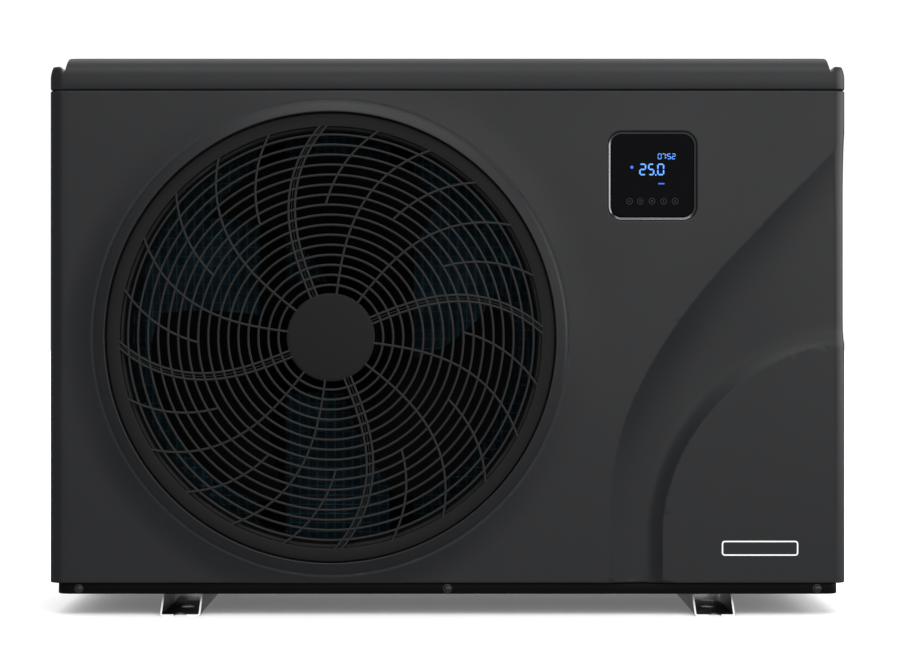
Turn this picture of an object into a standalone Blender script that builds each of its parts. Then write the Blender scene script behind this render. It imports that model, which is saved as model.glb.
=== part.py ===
"""Pool heat pump unit: casing, fan, coil, refrigerant set, water side and controls.

Metres, +Z up, front faces -Y, origin at the centre of the foot print on the floor.
"""
import bmesh
import bpy
import math
import numpy as np
from mathutils import Vector
from mathutils.geometry import delaunay_2d_cdt

MM = 0.001

# casing
HALF_W = 476.0          # half width of the shell
FRONT = -200.0          # front plane
BACK = 160.0            # rear plane
CORNER_R = 17.0         # vertical corner radius
SKIN = 3.0              # moulded wall
SHELL_Z0 = 38.5         # lower edge of the shell
SHELL_Z1 = 626.8        # upper edge of the shell
LID_Z0 = 627.6          # lower edge of the lid
LID_TOP = 667.0         # plateau of the lid
RETURN = 60.0           # front panel depth on each side
REAR_RETURN = 40.0      # side panel width on the rear face

# base
PAN_HALF = 467.0
PAN_Z0 = 25.0
PAN_STEP = 37.8         # the shell stands over the step
PAN_TOP = 58.0
FOOT_X = 318.5
FOOT_W = 48.0
FOOT_H = 24.7

# fan
FAN_X = -139.5
FAN_Z = 332.0
PORT_R = 269.0          # hole in the front panel
RING_R = 282.0          # outside of the raised ring
RING_RISE = 3.0
RIM_IN = 251.6
RIM_OUT = 267.6
HUB_R = 53.0
RINGS = 16
RING_R0 = 62.6
RING_PITCH = 11.98
BAR = 3.1
GRILLE_Y = -198.6
THROAT_R = 246.0
BLADE_R = 224.0
BLADES = 3

# display
DISP_X = 246.0
DISP_Z = 526.0
DISP_HALF = 53.5
DISP_R = 17.0

# sweeping recess: points on its upper edge, and the superellipse of its lower edge
WAVE_TOP = [(193, 30), (193, 124), (206, 213), (243, 299), (302, 385), (376, 467), (476, 570), (545, 641)]
WAVE_LOW = dict(cx=477.0, cz=100.0, a=220.0, b=224.0, n=1.88)
WAVE_DEPTH = 9.0

# water side
PORT_X = 380.0
PORT_Z = (150.0, 410.0)
SOCKET_END = 203.0

# gauge
GAUGE_X = 290.0
GAUGE_Z = 430.0

PALETTE = {
    "charcoal": ((0.045, 0.047, 0.050), 0.45, 0.0),
    "black": ((0.012, 0.012, 0.013), 0.55, 0.0),
    "grille": ((0.028, 0.028, 0.029), 0.5, 0.0),
    "glass": ((0.008, 0.009, 0.011), 0.08, 0.0),
    "galvanised": ((0.62, 0.63, 0.64), 0.35, 1.0),
    "steel": ((0.5, 0.5, 0.51), 0.3, 1.0),
    "copper": ((0.72, 0.38, 0.22), 0.3, 1.0),
    "brass": ((0.70, 0.52, 0.25), 0.3, 1.0),
    "fin_blue": ((0.03, 0.14, 0.26), 0.4, 0.3),
    "pvc": ((0.10, 0.10, 0.11), 0.4, 0.0),
    "rubber": ((0.02, 0.02, 0.02), 0.8, 0.0),
    "pcb": ((0.02, 0.16, 0.07), 0.5, 0.0),
    "alu": ((0.75, 0.76, 0.77), 0.35, 1.0),
    "white": ((0.8, 0.8, 0.78), 0.5, 0.0),
    "clear": ((0.9, 0.93, 0.95), 0.05, 0.0),
    "red": ((0.6, 0.03, 0.02), 0.4, 0.0),
    "grey": ((0.30, 0.31, 0.32), 0.45, 0.0),
}


def clear_scene():
    for obj in list(bpy.data.objects):
        bpy.data.objects.remove(obj, do_unlink=True)


def material(name, kind):
    colour, rough, metal = PALETTE[kind]
    mat = bpy.data.materials.new(name)
    mat.use_nodes = True
    node = mat.node_tree.nodes["Principled BSDF"]
    node.inputs["Base Color"].default_value = (*colour, 1.0)
    node.inputs["Roughness"].default_value = rough
    node.inputs["Metallic"].default_value = metal
    return mat


def make(name, body, kind, origin=(0.0, 0.0, 0.0), smooth=False):
    """Add one node from (vertices in mm, faces)."""
    verts, faces = body
    centre = Vector(origin) * MM
    mesh = bpy.data.meshes.new(name)
    mesh.from_pydata([Vector(v) * MM - centre for v in verts], [], [list(f) for f in faces])
    bm = bmesh.new()
    bm.from_mesh(mesh)
    bmesh.ops.remove_doubles(bm, verts=bm.verts, dist=1e-6)
    bmesh.ops.recalc_face_normals(bm, faces=bm.faces)
    for face in bm.faces:
        face.smooth = smooth
    bm.to_mesh(mesh)
    bm.free()
    obj = bpy.data.objects.new(name, mesh)
    obj.location = centre
    mesh.materials.append(material(name, kind))
    bpy.context.scene.collection.objects.link(obj)
    return obj


def combine(obj, others, operation):
    """Fuse or cut with exact Booleans and keep one mesh."""
    for other in others:
        mod = obj.modifiers.new("join", "BOOLEAN")
        mod.operation = operation
        mod.solver = "EXACT"
        mod.object = other
    bpy.context.view_layer.update()
    evaluated = obj.evaluated_get(bpy.context.evaluated_depsgraph_get())
    mesh = bpy.data.meshes.new_from_object(evaluated)
    mesh.name = obj.name
    obj.modifiers.clear()
    obj.data = mesh
    for other in others:
        bpy.data.objects.remove(other, do_unlink=True)
    bm = bmesh.new()
    bm.from_mesh(mesh)
    bmesh.ops.remove_doubles(bm, verts=bm.verts, dist=1e-6)
    bmesh.ops.triangulate(bm, faces=bm.faces)
    bm.to_mesh(mesh)
    bm.free()
    return obj


def fuse(name, bodies, kind, smooth=False):
    parts = [make(name + "_part", body, kind) for body in bodies[1:]]
    return combine(make(name, bodies[0], kind, smooth=smooth), parts, "UNION")


def cut(obj, bodies):
    return combine(obj, [make("cutter", body, "black") for body in bodies], "DIFFERENCE")


def box(x0, x1, y0, y1, z0, z1):
    verts = [(x, y, z) for x in (x0, x1) for y in (y0, y1) for z in (z0, z1)]
    faces = [(0, 1, 3, 2), (4, 6, 7, 5), (0, 4, 5, 1), (2, 3, 7, 6), (0, 2, 6, 4), (1, 5, 7, 3)]
    return verts, faces


def place(axis, u, v, a):
    return {"X": (a, u, v), "Y": (u, a, v), "Z": (u, v, a)}[axis]


def circle(cx, cy, r, n):
    steps = [2 * math.pi * k / n for k in range(n)]
    return [(cx + r * math.cos(t), cy + r * math.sin(t)) for t in steps]


def rounded(x0, x1, y0, y1, r, n=4):
    """Rounded rectangle as a polyline."""
    out = []
    corners = [(x1 - r, y1 - r, 0), (x0 + r, y1 - r, 90), (x0 + r, y0 + r, 180), (x1 - r, y0 + r, 270)]
    for cx, cy, a0 in corners:
        for k in range(n + 1):
            t = math.radians(a0 + 90.0 * k / n)
            out.append((cx + r * math.cos(t), cy + r * math.sin(t)))
    return out


def inside(point, loop):
    x, y = point
    hit = False
    for (x0, y0), (x1, y1) in zip(loop, loop[1:] + loop[:1]):
        if (y0 > y) != (y1 > y) and x < (x1 - x0) * (y - y0) / (y1 - y0) + x0:
            hit = not hit
    return hit


def triangulate(outline, holes=(), lines=()):
    """Constrained triangulation of an outline with holes and open lines."""
    coords = []
    edges = []
    for loop in [outline, *holes]:
        base = len(coords)
        coords.extend(loop)
        edges.extend((base + k, base + (k + 1) % len(loop)) for k in range(len(loop)))
    for line in lines:
        base = len(coords)
        coords.extend(line)
        edges.extend((base + k, base + k + 1) for k in range(len(line) - 1))
    result = delaunay_2d_cdt([Vector(c) for c in coords], edges, [], 0, 1e-4)
    verts = [tuple(v) for v in result[0]]
    keep = []
    for face in result[2]:
        centre = (sum(verts[i][0] for i in face) / 3, sum(verts[i][1] for i in face) / 3)
        if inside(centre, list(outline)) and not any(inside(centre, list(h)) for h in holes):
            keep.append(tuple(face))
    used = sorted({i for face in keep for i in face})
    index = {old: new for new, old in enumerate(used)}
    return [verts[i] for i in used], [tuple(index[i] for i in face) for face in keep]


def rim_edges(faces):
    """Directed edges that belong to one face only."""
    seen = {}
    for face in faces:
        for a, b in zip(face, face[1:] + face[:1]):
            seen[(a, b)] = seen.get((a, b), 0) + 1
    return [edge for edge in seen if (edge[1], edge[0]) not in seen]


def sandwich(front, back, faces):
    """Closed body from two layers that share one triangulation."""
    n = len(front)
    out = [tuple(f) for f in faces]
    out += [tuple(i + n for i in reversed(f)) for f in faces]
    out += [(b, a, a + n, b + n) for a, b in rim_edges(faces)]
    return list(front) + list(back), out


def prism(axis, outline, a0, a1, holes=()):
    flat, faces = triangulate(outline, holes)
    lower = [place(axis, u, v, a0) for u, v in flat]
    upper = [place(axis, u, v, a1) for u, v in flat]
    return sandwich(lower, upper, faces)


def lathe(axis, cu, cv, profile, n=20):
    """Turn a closed (radius, along) profile about an axis through (cu, cv)."""
    verts = []
    rings = []
    for r, a in profile:
        if r < 1e-6:
            rings.append([len(verts)])
            verts.append(place(axis, cu, cv, a))
            continue
        rings.append(list(range(len(verts), len(verts) + n)))
        verts += [place(axis, u, v, a) for u, v in circle(cu, cv, r, n)]
    faces = []
    for one, two in zip(rings, rings[1:] + rings[:1]):
        for k in range(n):
            m = (k + 1) % n
            if len(one) == 1 and len(two) == 1:
                continue
            if len(one) == 1:
                faces.append((one[0], two[k], two[m]))
            elif len(two) == 1:
                faces.append((one[k], two[0], one[m]))
            else:
                faces.append((one[k], two[k], two[m], one[m]))
    return verts, faces


def rod(path, r, n=8):
    """Round solid along a path with turned corners already in it."""
    pts = [Vector(p) for p in path]
    verts = []
    side = None
    for i, p in enumerate(pts):
        ahead = (pts[min(i + 1, len(pts) - 1)] - pts[max(i - 1, 0)]).normalized()
        if side is None:
            side = ahead.orthogonal().normalized()
        side = (side - ahead * side.dot(ahead)).normalized()
        other = ahead.cross(side)
        steps = [2 * math.pi * k / n for k in range(n)]
        verts += [tuple(p + side * (r * math.cos(t)) + other * (r * math.sin(t))) for t in steps]
    faces = []
    for i in range(len(pts) - 1):
        for k in range(n):
            m = (k + 1) % n
            faces.append((i * n + k, i * n + m, (i + 1) * n + m, (i + 1) * n + k))
    faces.append(tuple(range(n - 1, -1, -1)))
    faces.append(tuple(range((len(pts) - 1) * n, len(pts) * n)))
    return verts, faces


def bend(points, r, n=2):
    """Replace each inner corner of a polyline with a short arc."""
    pts = [Vector(p) for p in points]
    out = [pts[0]]
    for a, b, c in zip(pts, pts[1:], pts[2:]):
        p = b + (a - b).normalized() * r
        q = b + (c - b).normalized() * r
        for k in range(n + 1):
            t = k / n
            out.append(p * (1 - t) ** 2 + b * (2 * t * (1 - t)) + q * t ** 2)
    out.append(pts[-1])
    return [tuple(p) for p in out]


def loft(rings, cap=True):
    """Skin rings of equal length; the ends are capped or joined to each other."""
    n = len(rings[0])
    verts = [p for ring in rings for p in ring]
    faces = []
    last = len(rings) - 1 if cap else len(rings)
    for i in range(last):
        j = (i + 1) % len(rings)
        for k in range(n):
            m = (k + 1) % n
            faces.append((i * n + k, i * n + m, j * n + m, j * n + k))
    if cap:
        faces.append(tuple(range(n - 1, -1, -1)))
        faces.append(tuple(range((len(rings) - 1) * n, len(rings) * n)))
    return verts, faces


# ---- skins that follow the casing outline ---------------------------------------------

def follow(segments, s):
    """Point and outward normal at arc length s of a plan made of lines and arcs."""
    for index, seg in enumerate(segments):
        length = seg["length"]
        if s <= length or index == len(segments) - 1:
            if seg["kind"] == "line":
                (x0, y0), (x1, y1) = seg["ends"]
                t = s / length
                nx, ny = (y1 - y0) / length, -(x1 - x0) / length
                return x0 + (x1 - x0) * t, y0 + (y1 - y0) * t, nx, ny
            angle = seg["start"] + s / seg["r"]
            nx, ny = math.cos(angle), math.sin(angle)
            return seg["centre"][0] + seg["r"] * nx, seg["centre"][1] + seg["r"] * ny, nx, ny
        s -= length
    return None


def line_seg(p, q):
    return {"kind": "line", "ends": (p, q), "length": math.dist(p, q)}


def arc_seg(centre, r, start):
    return {"kind": "arc", "centre": centre, "r": r, "start": start, "length": r * math.pi / 2}


def skin(segments, z0, z1, thick, holes=(), lines=(), depth=None, arc_steps=4):
    """Moulded wall along a plan outline; depth(s, z) pushes it in along the normal."""
    total = sum(seg["length"] for seg in segments)
    outline = [(0, z0), (total, z0), (total, z1), (0, z1)]
    walls = list(lines)
    start = 0.0
    for seg in segments:
        if seg["kind"] == "arc":
            for k in range(arc_steps + 1):
                s = start + seg["length"] * k / arc_steps
                walls.append([(s, z0), (s, z1)])
        start += seg["length"]
    flat, faces = triangulate(outline, holes, walls)
    front = []
    back = []
    for s, z in flat:
        x, y, nx, ny = follow(segments, s)
        d = depth(s, z) if depth else 0.0
        front.append((x - nx * d, y - ny * d, z))
        back.append((x - nx * (d + thick), y - ny * (d + thick), z))
    return sandwich(front, back, faces)


def catmull(points, n):
    pts = [np.array(p, float) for p in points]
    pts = [2 * pts[0] - pts[1], *pts, 2 * pts[-1] - pts[-2]]
    out = []
    for i in range(1, len(pts) - 2):
        p0, p1, p2, p3 = pts[i - 1:i + 3]
        for k in range(n):
            t = k / n
            out.append(0.5 * (2 * p1 + (p2 - p0) * t + (2 * p0 - 5 * p1 + 4 * p2 - p3) * t ** 2
                              + (3 * p1 - p0 - 3 * p2 + p3) * t ** 3))
    out.append(pts[-2])
    return np.array(out)


def low_curve(grow, n):
    """Lower edge of the recess, grown outwards by a distance."""
    w = WAVE_LOW
    a, b = w["a"] + grow, w["b"] + grow
    pts = [(w["cx"] - a, 30.0)]
    for k in range(n + 1):
        t = math.pi / 2 * k / n
        c, s = math.cos(t) ** (2 / w["n"]), math.sin(t) ** (2 / w["n"])
        pts.append((w["cx"] - a * c, w["cz"] + b * s))
    pts.append((w["cx"] + 70.0, w["cz"] + b))
    return pts


def offset(curve, distance):
    """Shift a curve to its right-hand side."""
    tangent = np.gradient(curve, axis=0)
    tangent /= np.linalg.norm(tangent, axis=1)[:, None]
    return curve + distance * np.stack([tangent[:, 1], -tangent[:, 0]], axis=1)


def side_of(curve, point):
    """Signed distance to a curve, positive on its right-hand side."""
    a, b = curve[:-1], curve[1:]
    d = b - a
    t = np.clip(((point - a) * d).sum(1) / (d * d).sum(1), 0, 1)
    near = a + d * t[:, None]
    gap = np.linalg.norm(point - near, axis=1)
    k = int(gap.argmin())
    cross = d[k][0] * (point[1] - a[k][1]) - d[k][1] * (point[0] - a[k][0])
    return math.copysign(gap[k], -cross)


def ease(t):
    t = min(max(t, 0.0), 1.0)
    return t * t * (3 - 2 * t)


def front_panel():
    flat_w = HALF_W - CORNER_R
    side = RETURN - CORNER_R
    yc = FRONT + CORNER_R
    segments = [
        line_seg((-HALF_W, yc + side), (-HALF_W, yc)),
        arc_seg((-flat_w, yc), CORNER_R, math.pi),
        line_seg((-flat_w, FRONT), (flat_w, FRONT)),
        arc_seg((flat_w, yc), CORNER_R, 1.5 * math.pi),
        line_seg((HALF_W, yc), (HALF_W, yc + side)),
    ]
    total = sum(seg["length"] for seg in segments)
    shift = total / 2
    top_edge = catmull(WAVE_TOP, 24)
    low_edge = np.array(low_curve(0.0, 64))

    def depth(s, z):
        x = s - shift
        rho = math.hypot(x - FAN_X, z - FAN_Z)
        if rho < RING_R + 4:
            rise = ease((rho - PORT_R + 4) / 4) * ease((RING_R - rho) / 3)
            return -RING_RISE * rise
        here = np.array((x, z))
        outer = side_of(top_edge, here)
        inner = -side_of(low_edge, here)
        if outer <= 0 or inner <= 0:
            return 0.0
        fade = 1 - 0.64 * ease((x - 430) / 45) - 0.36 * ease((x - 480) / 40)
        return WAVE_DEPTH * min(ease(outer / 15), ease(inner / 15)) * fade

    def clip(line):
        pts = [(float(x) + shift, float(z)) for x, z in line]
        edge = total - 0.5
        return [p for p in pts if SHELL_Z0 + 0.5 < p[1] < SHELL_Z1 - 0.5 and 0.5 < p[0] < edge]

    lines = []
    coarse = catmull(WAVE_TOP, 3)
    for gap in (0.0, 7.5, 15.0):
        lines.append(clip(offset(coarse, gap)))
        lines.append(clip(low_curve(gap, 9)))
    centre = (FAN_X + shift, FAN_Z)
    n = 64
    lines += [circle(*centre, r, n) + circle(*centre, r, n)[:1] for r in (RING_R - 3, RING_R)]
    holes = [circle(*centre, PORT_R, n)]
    dx = DISP_X + shift
    holes.append(rounded(dx - DISP_HALF, dx + DISP_HALF, DISP_Z - DISP_HALF, DISP_Z + DISP_HALF, DISP_R, 4))
    return skin(segments, SHELL_Z0, SHELL_Z1, SKIN, holes, lines, depth=depth)


HAND_Y = (-30.0, 70.0)
HAND_Z = (505.0, 545.0)


def side_panel(sign):
    """Side wall with its rear return; the left one is louvred."""
    y0 = FRONT + RETURN + 0.8
    yc = BACK - CORNER_R
    rear = HALF_W - CORNER_R
    segments = [line_seg((HALF_W, y0), (HALF_W, yc)), arc_seg((rear, yc), CORNER_R, 0.0),
                line_seg((rear, BACK), (HALF_W - REAR_RETURN, BACK))]
    holes = [rounded(HAND_Y[0] - y0, HAND_Y[1] - y0, *HAND_Z, 12, 3)]
    if sign < 0:
        for k in range(10):
            z = 100 + 38 * k
            holes.append(rounded(30, yc - y0 - 14, z, z + 18, 8.9, 3))
    verts, faces = skin(segments, SHELL_Z0, SHELL_Z1, SKIN, holes)
    return [(sign * x, y, z) for x, y, z in verts], faces


def hand_grip(sign):
    """Cup set into the side panel as a finger hold."""
    y0, y1 = HAND_Y
    z0, z1 = HAND_Z
    steps = [(HALF_W + 1.8, -5.0), (HALF_W + 1.8, 2.0), (HALF_W - 28.0, 3.5),
             (HALF_W - 30.0, 1.2), (HALF_W + 0.4, 0.6), (HALF_W + 0.4, -5.0)]
    loops = []
    for x, inset in steps:
        loop = rounded(y0 + inset, y1 - inset, z0 + inset, z1 - inset, 12, 3)
        loops.append([(sign * x, y, z) for y, z in loop])
    n = len(loops[0])
    verts = [p for loop in loops for p in loop]
    faces = []
    for i, j in ((0, 1), (1, 2), (3, 4), (4, 5), (5, 0)):
        for k in range(n):
            m = (k + 1) % n
            faces.append((i * n + k, i * n + m, j * n + m, j * n + k))
    faces.append(tuple(range(2 * n, 3 * n)))
    faces.append(tuple(range(3 * n, 4 * n)))
    return verts, faces


LID_EDGE = [(0.0, 643.0), (1.5, 651.0), (4.8, 658.4), (10.0, 663.8), (19.0, 666.6), (26.0, 667.0)]
LID_END = [(0.0, 655.6), (12.5, 655.6), (15.4, 652.6), (17.8, 648.9), (20.2, 656.0), (22.8, 665.6), (24.4, 667.0)]


def lid_height(x, y):
    """Lower of the rounded outer edge and the lip-and-gutter profile of the ends."""
    half_d = (BACK - FRONT) / 2
    qx = abs(x) - (HALF_W - CORNER_R)
    qy = abs(y - (FRONT + BACK) / 2) - (half_d - CORNER_R)
    inset = CORNER_R - math.hypot(max(qx, 0.0), max(qy, 0.0)) - min(max(qx, qy), 0.0)
    edge = float(np.interp(inset, *zip(*LID_EDGE)))
    end = float(np.interp(HALF_W - abs(x), *zip(*LID_END)))
    return min(edge, end)


def lid():
    """Hollow cover with a rounded edge all round and a gutter and lip along each end."""
    def loop(inset):
        return rounded(-HALF_W + inset, HALF_W - inset, FRONT + inset, BACK - inset,
                       max(CORNER_R - inset, 1.5), 6)

    lines = [loop(inset) + loop(inset)[:1] for inset, _ in LID_EDGE[1:]]
    lines += [loop(inset) + loop(inset)[:1] for inset in (2.7, 7.0)]
    for inset, _ in LID_END[1:]:
        for sign in (-1, 1):
            x = sign * (HALF_W - inset)
            lines.append([(x, FRONT + 1), (x, BACK - 1)])
    flat, faces = triangulate(loop(0.0), (), lines)
    verts = [(x, y, lid_height(x, y)) for x, y in flat]
    walls = [(0.0, LID_EDGE[0][1]), (0.0, LID_Z0), (3.2, LID_Z0), (3.2, 639.0), (21.0, 645.4), (27.0, 662.5)]
    rings = [[(x, y, z) for x, y in loop(inset)] for inset, z in walls]
    n = len(rings[0])
    for one, two in zip(rings, rings[1:]):
        base = len(verts)
        verts += one + two
        faces += [(base + k, base + (k + 1) % n, base + n + (k + 1) % n, base + n + k) for k in range(n)]
    faces.append(tuple(range(len(verts) - n, len(verts))))
    return verts, faces


def pan():
    """Tray with a drain hole."""
    def ring(inset, z):
        loop = rounded(-PAN_HALF + inset, PAN_HALF - inset, FRONT + 7 + inset, BACK - 6 - inset, 14 - inset, 3)
        return [(x, y, z) for x, y in loop]
    hole = circle(-60, 20, 9, 16)
    floor, faces = triangulate([p[:2] for p in ring(0, 0)], [hole])
    inner, inner_faces = triangulate([p[:2] for p in ring(10, 0)], [hole])
    verts = [(x, y, PAN_Z0) for x, y in floor]
    out = [tuple(f) for f in faces]
    base = len(verts)
    verts += [(x, y, PAN_Z0 + 2) for x, y in inner]
    out += [tuple(i + base for i in f) for f in inner_faces]
    strips = [[ring(0, PAN_Z0), ring(0, PAN_STEP)], [ring(0, PAN_STEP), ring(8, PAN_STEP)],
              [ring(8, PAN_STEP), ring(8, PAN_TOP)], [ring(8, PAN_TOP), ring(10, PAN_TOP)],
              [ring(10, PAN_TOP), ring(10, PAN_Z0 + 2)],
              [[(x, y, PAN_Z0) for x, y in hole], [(x, y, PAN_Z0 + 2) for x, y in hole]]]
    for one, two in strips:
        base = len(verts)
        n = len(one)
        verts += one + two
        out += [(base + k, base + (k + 1) % n, base + n + (k + 1) % n, base + n + k) for k in range(n)]
    return verts, out


def foot(sign):
    """Open-topped channel with slanted ends, two slots in its floor and a notch at each end."""
    w, t = FOOT_W / 2, 2.0
    section = [(-w, 0), (w, 0), (w, FOOT_H), (w - t, FOOT_H), (w - t, t), (-w + t, t), (-w + t, FOOT_H),
               (-w, FOOT_H)]
    section = [(sign * FOOT_X + x, z) for x, z in section]
    verts, faces = prism("Y", section, -188.0, 148.0)
    verts = [(x, y + (18.0 if y < 0 else -18.0) * z / FOOT_H, z) for x, y, z in verts]
    name = "foot_right" if sign > 0 else "foot_left"
    obj = make(name, (verts, faces), "galvanised")
    cutters = []
    x = sign * FOOT_X
    for y in (-192.0, -105.0, 65.0, 152.0):
        cutters.append(prism("Z", rounded(x - 7.5, x + 7.5, y - 16, y + 16, 7.4, 3), -3, 6))
    return cut(obj, cutters)


# ---- grille ---------------------------------------------------------------------------

def twist(r):
    return math.radians(19.6) * (max(r - 55.0, 0.0) / 194.0) ** 2.1


def grille():
    """Hub, rings and swirled spokes in one moulding."""
    y_front = GRILLE_Y
    y_apex = GRILLE_Y + 5.0
    y_rim = GRILLE_Y + 9.6
    verts = []
    faces = []

    def put(r, angle, y):
        verts.append((FAN_X + r * math.sin(angle), y, FAN_Z + r * math.cos(angle)))
        return len(verts) - 1

    spokes = []
    for quadrant in range(4):
        base = -22.4 + 90 * quadrant
        for k in range(6):
            kind = "double" if k == 0 else ("half" if k % 2 else "full")
            spokes.append((math.radians(base + 15 * k), kind))

    def stations(r, outer_zone):
        """Angles round one ring, with the spoke index where a spoke starts."""
        out = []
        for index, (angle, kind) in enumerate(spokes):
            middle = angle + twist(r)
            if kind == "half" and not outer_zone:
                out.append((middle, None))
                continue
            half = (4.4 if kind == "double" else BAR / 2) / r
            out.append((middle - half, index))
            out.append((middle + half, None))
        return out

    def loop(r_in, r_out, zone, apex_r):
        rows = stations((r_in + r_out) / 2, zone)
        ring = {"in": [], "out": [], "apex": [], "spoke": [s for _, s in rows]}
        for angle, _ in rows:
            ring["in"].append(put(r_in, angle, y_front))
            ring["out"].append(put(r_out, angle, y_front))
            ring["apex"].append(put(apex_r, angle, y_apex))
        return ring

    def covers(kind_index, inner_ring, outer_ring):
        kind = spokes[kind_index][1]
        return kind != "half" or (inner_ring >= 8 and outer_ring >= 8)

    rings = [loop(RING_R0 + RING_PITCH * k - BAR / 2, RING_R0 + RING_PITCH * k + BAR / 2, k >= 8,
                  RING_R0 + RING_PITCH * k) for k in range(RINGS)]
    for k, ring in enumerate(rings):
        n = len(ring["in"])
        for i in range(n):
            j = (i + 1) % n
            s = ring["spoke"][i]
            faces.append((ring["in"][i], ring["in"][j], ring["out"][j], ring["out"][i]))
            if s is None or not covers(s, k, k + 1 if k + 1 < RINGS else 99):
                faces.append((ring["out"][i], ring["out"][j], ring["apex"][j], ring["apex"][i]))
            if s is None or not covers(s, k - 1, k):
                faces.append((ring["apex"][i], ring["apex"][j], ring["in"][j], ring["in"][i]))

    hub_rows = stations(HUB_R, False)
    hub = {"out": [put(HUB_R, a, y_front) for a, _ in hub_rows],
           "apex": [put(HUB_R, a, y_apex) for a, _ in hub_rows], "spoke": [s for _, s in hub_rows]}
    n = len(hub["out"])
    for i in range(n):
        if hub["spoke"][i] is None:
            j = (i + 1) % n
            faces.append((hub["out"][i], hub["out"][j], hub["apex"][j], hub["apex"][i]))
    faces.append(tuple(hub["out"]))
    faces.append(tuple(reversed(hub["apex"])))

    rim_rows = stations(RIM_IN, True)
    rim = {"spoke": [s for _, s in rim_rows]}
    for key, r, y in (("in", RIM_IN, y_front), ("apex", RIM_IN, y_apex), ("back", RIM_IN, y_rim),
                      ("bout", RIM_OUT, y_rim), ("fout", RIM_OUT, y_front)):
        rim[key] = [put(r, a, y) for a, _ in rim_rows]
    n = len(rim["in"])
    for i in range(n):
        j = (i + 1) % n
        for a, b in (("apex", "back"), ("back", "bout"), ("bout", "fout"), ("fout", "in")):
            faces.append((rim[a][i], rim[a][j], rim[b][j], rim[b][i]))
        if rim["spoke"][i] is None:
            faces.append((rim["in"][i], rim["in"][j], rim["apex"][j], rim["apex"][i]))

    chain = [hub] + rings + [rim]
    for k in range(len(chain) - 1):
        one, two = chain[k], chain[k + 1]
        for i, s in enumerate(one["spoke"]):
            if s is None or s not in two["spoke"] or not covers(s, k - 1, k if k < RINGS else 99):
                continue
            j = (i + 1) % len(one["out"])
            p = two["spoke"].index(s)
            q = (p + 1) % len(two["in"])
            faces.append((one["out"][i], one["out"][j], two["in"][q], two["in"][p]))
            faces.append((one["apex"][j], one["apex"][i], two["apex"][p], two["apex"][q]))
            faces.append((one["out"][j], one["apex"][j], two["apex"][q], two["in"][q]))
            faces.append((one["apex"][i], one["out"][i], two["in"][p], two["apex"][p]))
    return verts, faces


def shroud():
    """Flat plate with a bell-mouthed throat behind the grille."""
    n = 48
    plate = [(-462.0, 62.0), (160.0, 62.0), (160.0, 622.0), (-462.0, 622.0)]
    profile = [(247.5, -188.4), (THROAT_R, -170.0), (THROAT_R, -112.0), (256.0, -98.0), (258.5, -99.5),
               (248.5, -113.0), (248.5, -170.0), (250.0, -186.4)]
    verts = []
    faces = []
    rings = []
    for r, y in profile:
        rings.append(list(range(len(verts), len(verts) + n)))
        verts += [(u, y, v) for u, v in circle(FAN_X, FAN_Z, r, n)]
    for one, two in zip(rings, rings[1:]):
        faces += [(one[k], one[(k + 1) % n], two[(k + 1) % n], two[k]) for k in range(n)]
    for r, y in (profile[0], profile[-1]):
        flat, tris = triangulate(plate, [circle(FAN_X, FAN_Z, r, n)])
        base = len(verts)
        verts += [(u, y, v) for u, v in flat]
        faces += [tuple(i + base for i in f) for f in tris]
    base = len(verts)
    for y in (profile[0][1], profile[-1][1]):
        verts += [(u, y, v) for u, v in plate]
    faces += [(base + k, base + (k + 1) % 4, base + 4 + (k + 1) % 4, base + 4 + k) for k in range(4)]
    return verts, faces


def blade(k):
    """Back-swept blade with a twist along its span and rounded tip corners."""
    rows = []
    for i in range(7):
        t = i / 6
        lead = math.radians(-46 * t)
        span = math.radians(50 + 34 * t)
        rise = 64 - 22 * t
        row = []
        for j in range(7):
            u = j / 6
            r = 42 + (BLADE_R - 15 * abs(2 * u - 1) ** 3 - 42) * t
            a = lead + span * u + 2 * math.pi * k / BLADES
            y = -172 + rise * (1 - u) ** 1.15 + 6 * math.sin(math.pi * u)
            row.append((FAN_X + r * math.sin(a), y, FAN_Z + r * math.cos(a)))
        rows.append(row)
    n = len(rows[0])
    faces = []
    for i in range(len(rows) - 1):
        for j in range(n - 1):
            a = i * n + j
            faces.append((a, a + 1, a + n + 1))
            faces.append((a, a + n + 1, a + n))
    front = [p for row in rows for p in row]
    back = [(x, y + 3.0, z) for x, y, z in front]
    return sandwich(front, back, faces)


def fan():
    hub = lathe("Y", FAN_X, FAN_Z, [(6.4, -166), (30, -168), (50, -160), (52, -150), (52, -100), (47, -100),
                                    (47, -148), (20, -152), (16, -110), (6.4, -110)], 24)
    obj = fuse("fan_impeller", [hub] + [blade(k) for k in range(BLADES)], "black", smooth=False)
    set_origin(obj, (FAN_X, -150.0, FAN_Z))


def make_bracket():
    """Two channel rails from pan to cover, tied by a plate behind the motor."""
    section = [(66, -7.6), (97, -7.6), (97, 10), (95, 10), (95, -5.6), (68, -5.6), (68, 10), (66, 10)]
    left = prism("Z", [(FAN_X - x, y) for x, y in reversed(section)], 60, 622)
    right = prism("Z", [(FAN_X + x, y) for x, y in section], 60, 622)
    tie = box(FAN_X - 90, FAN_X + 90, -7.6, -5.6, FAN_Z - 70, FAN_Z + 70)
    fuse("motor_bracket", [tie, left, right], "galvanised")


def set_origin(obj, point):
    target = Vector(point) * MM
    delta = obj.location - target
    for vert in obj.data.vertices:
        vert.co += delta
    obj.location = target


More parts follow.
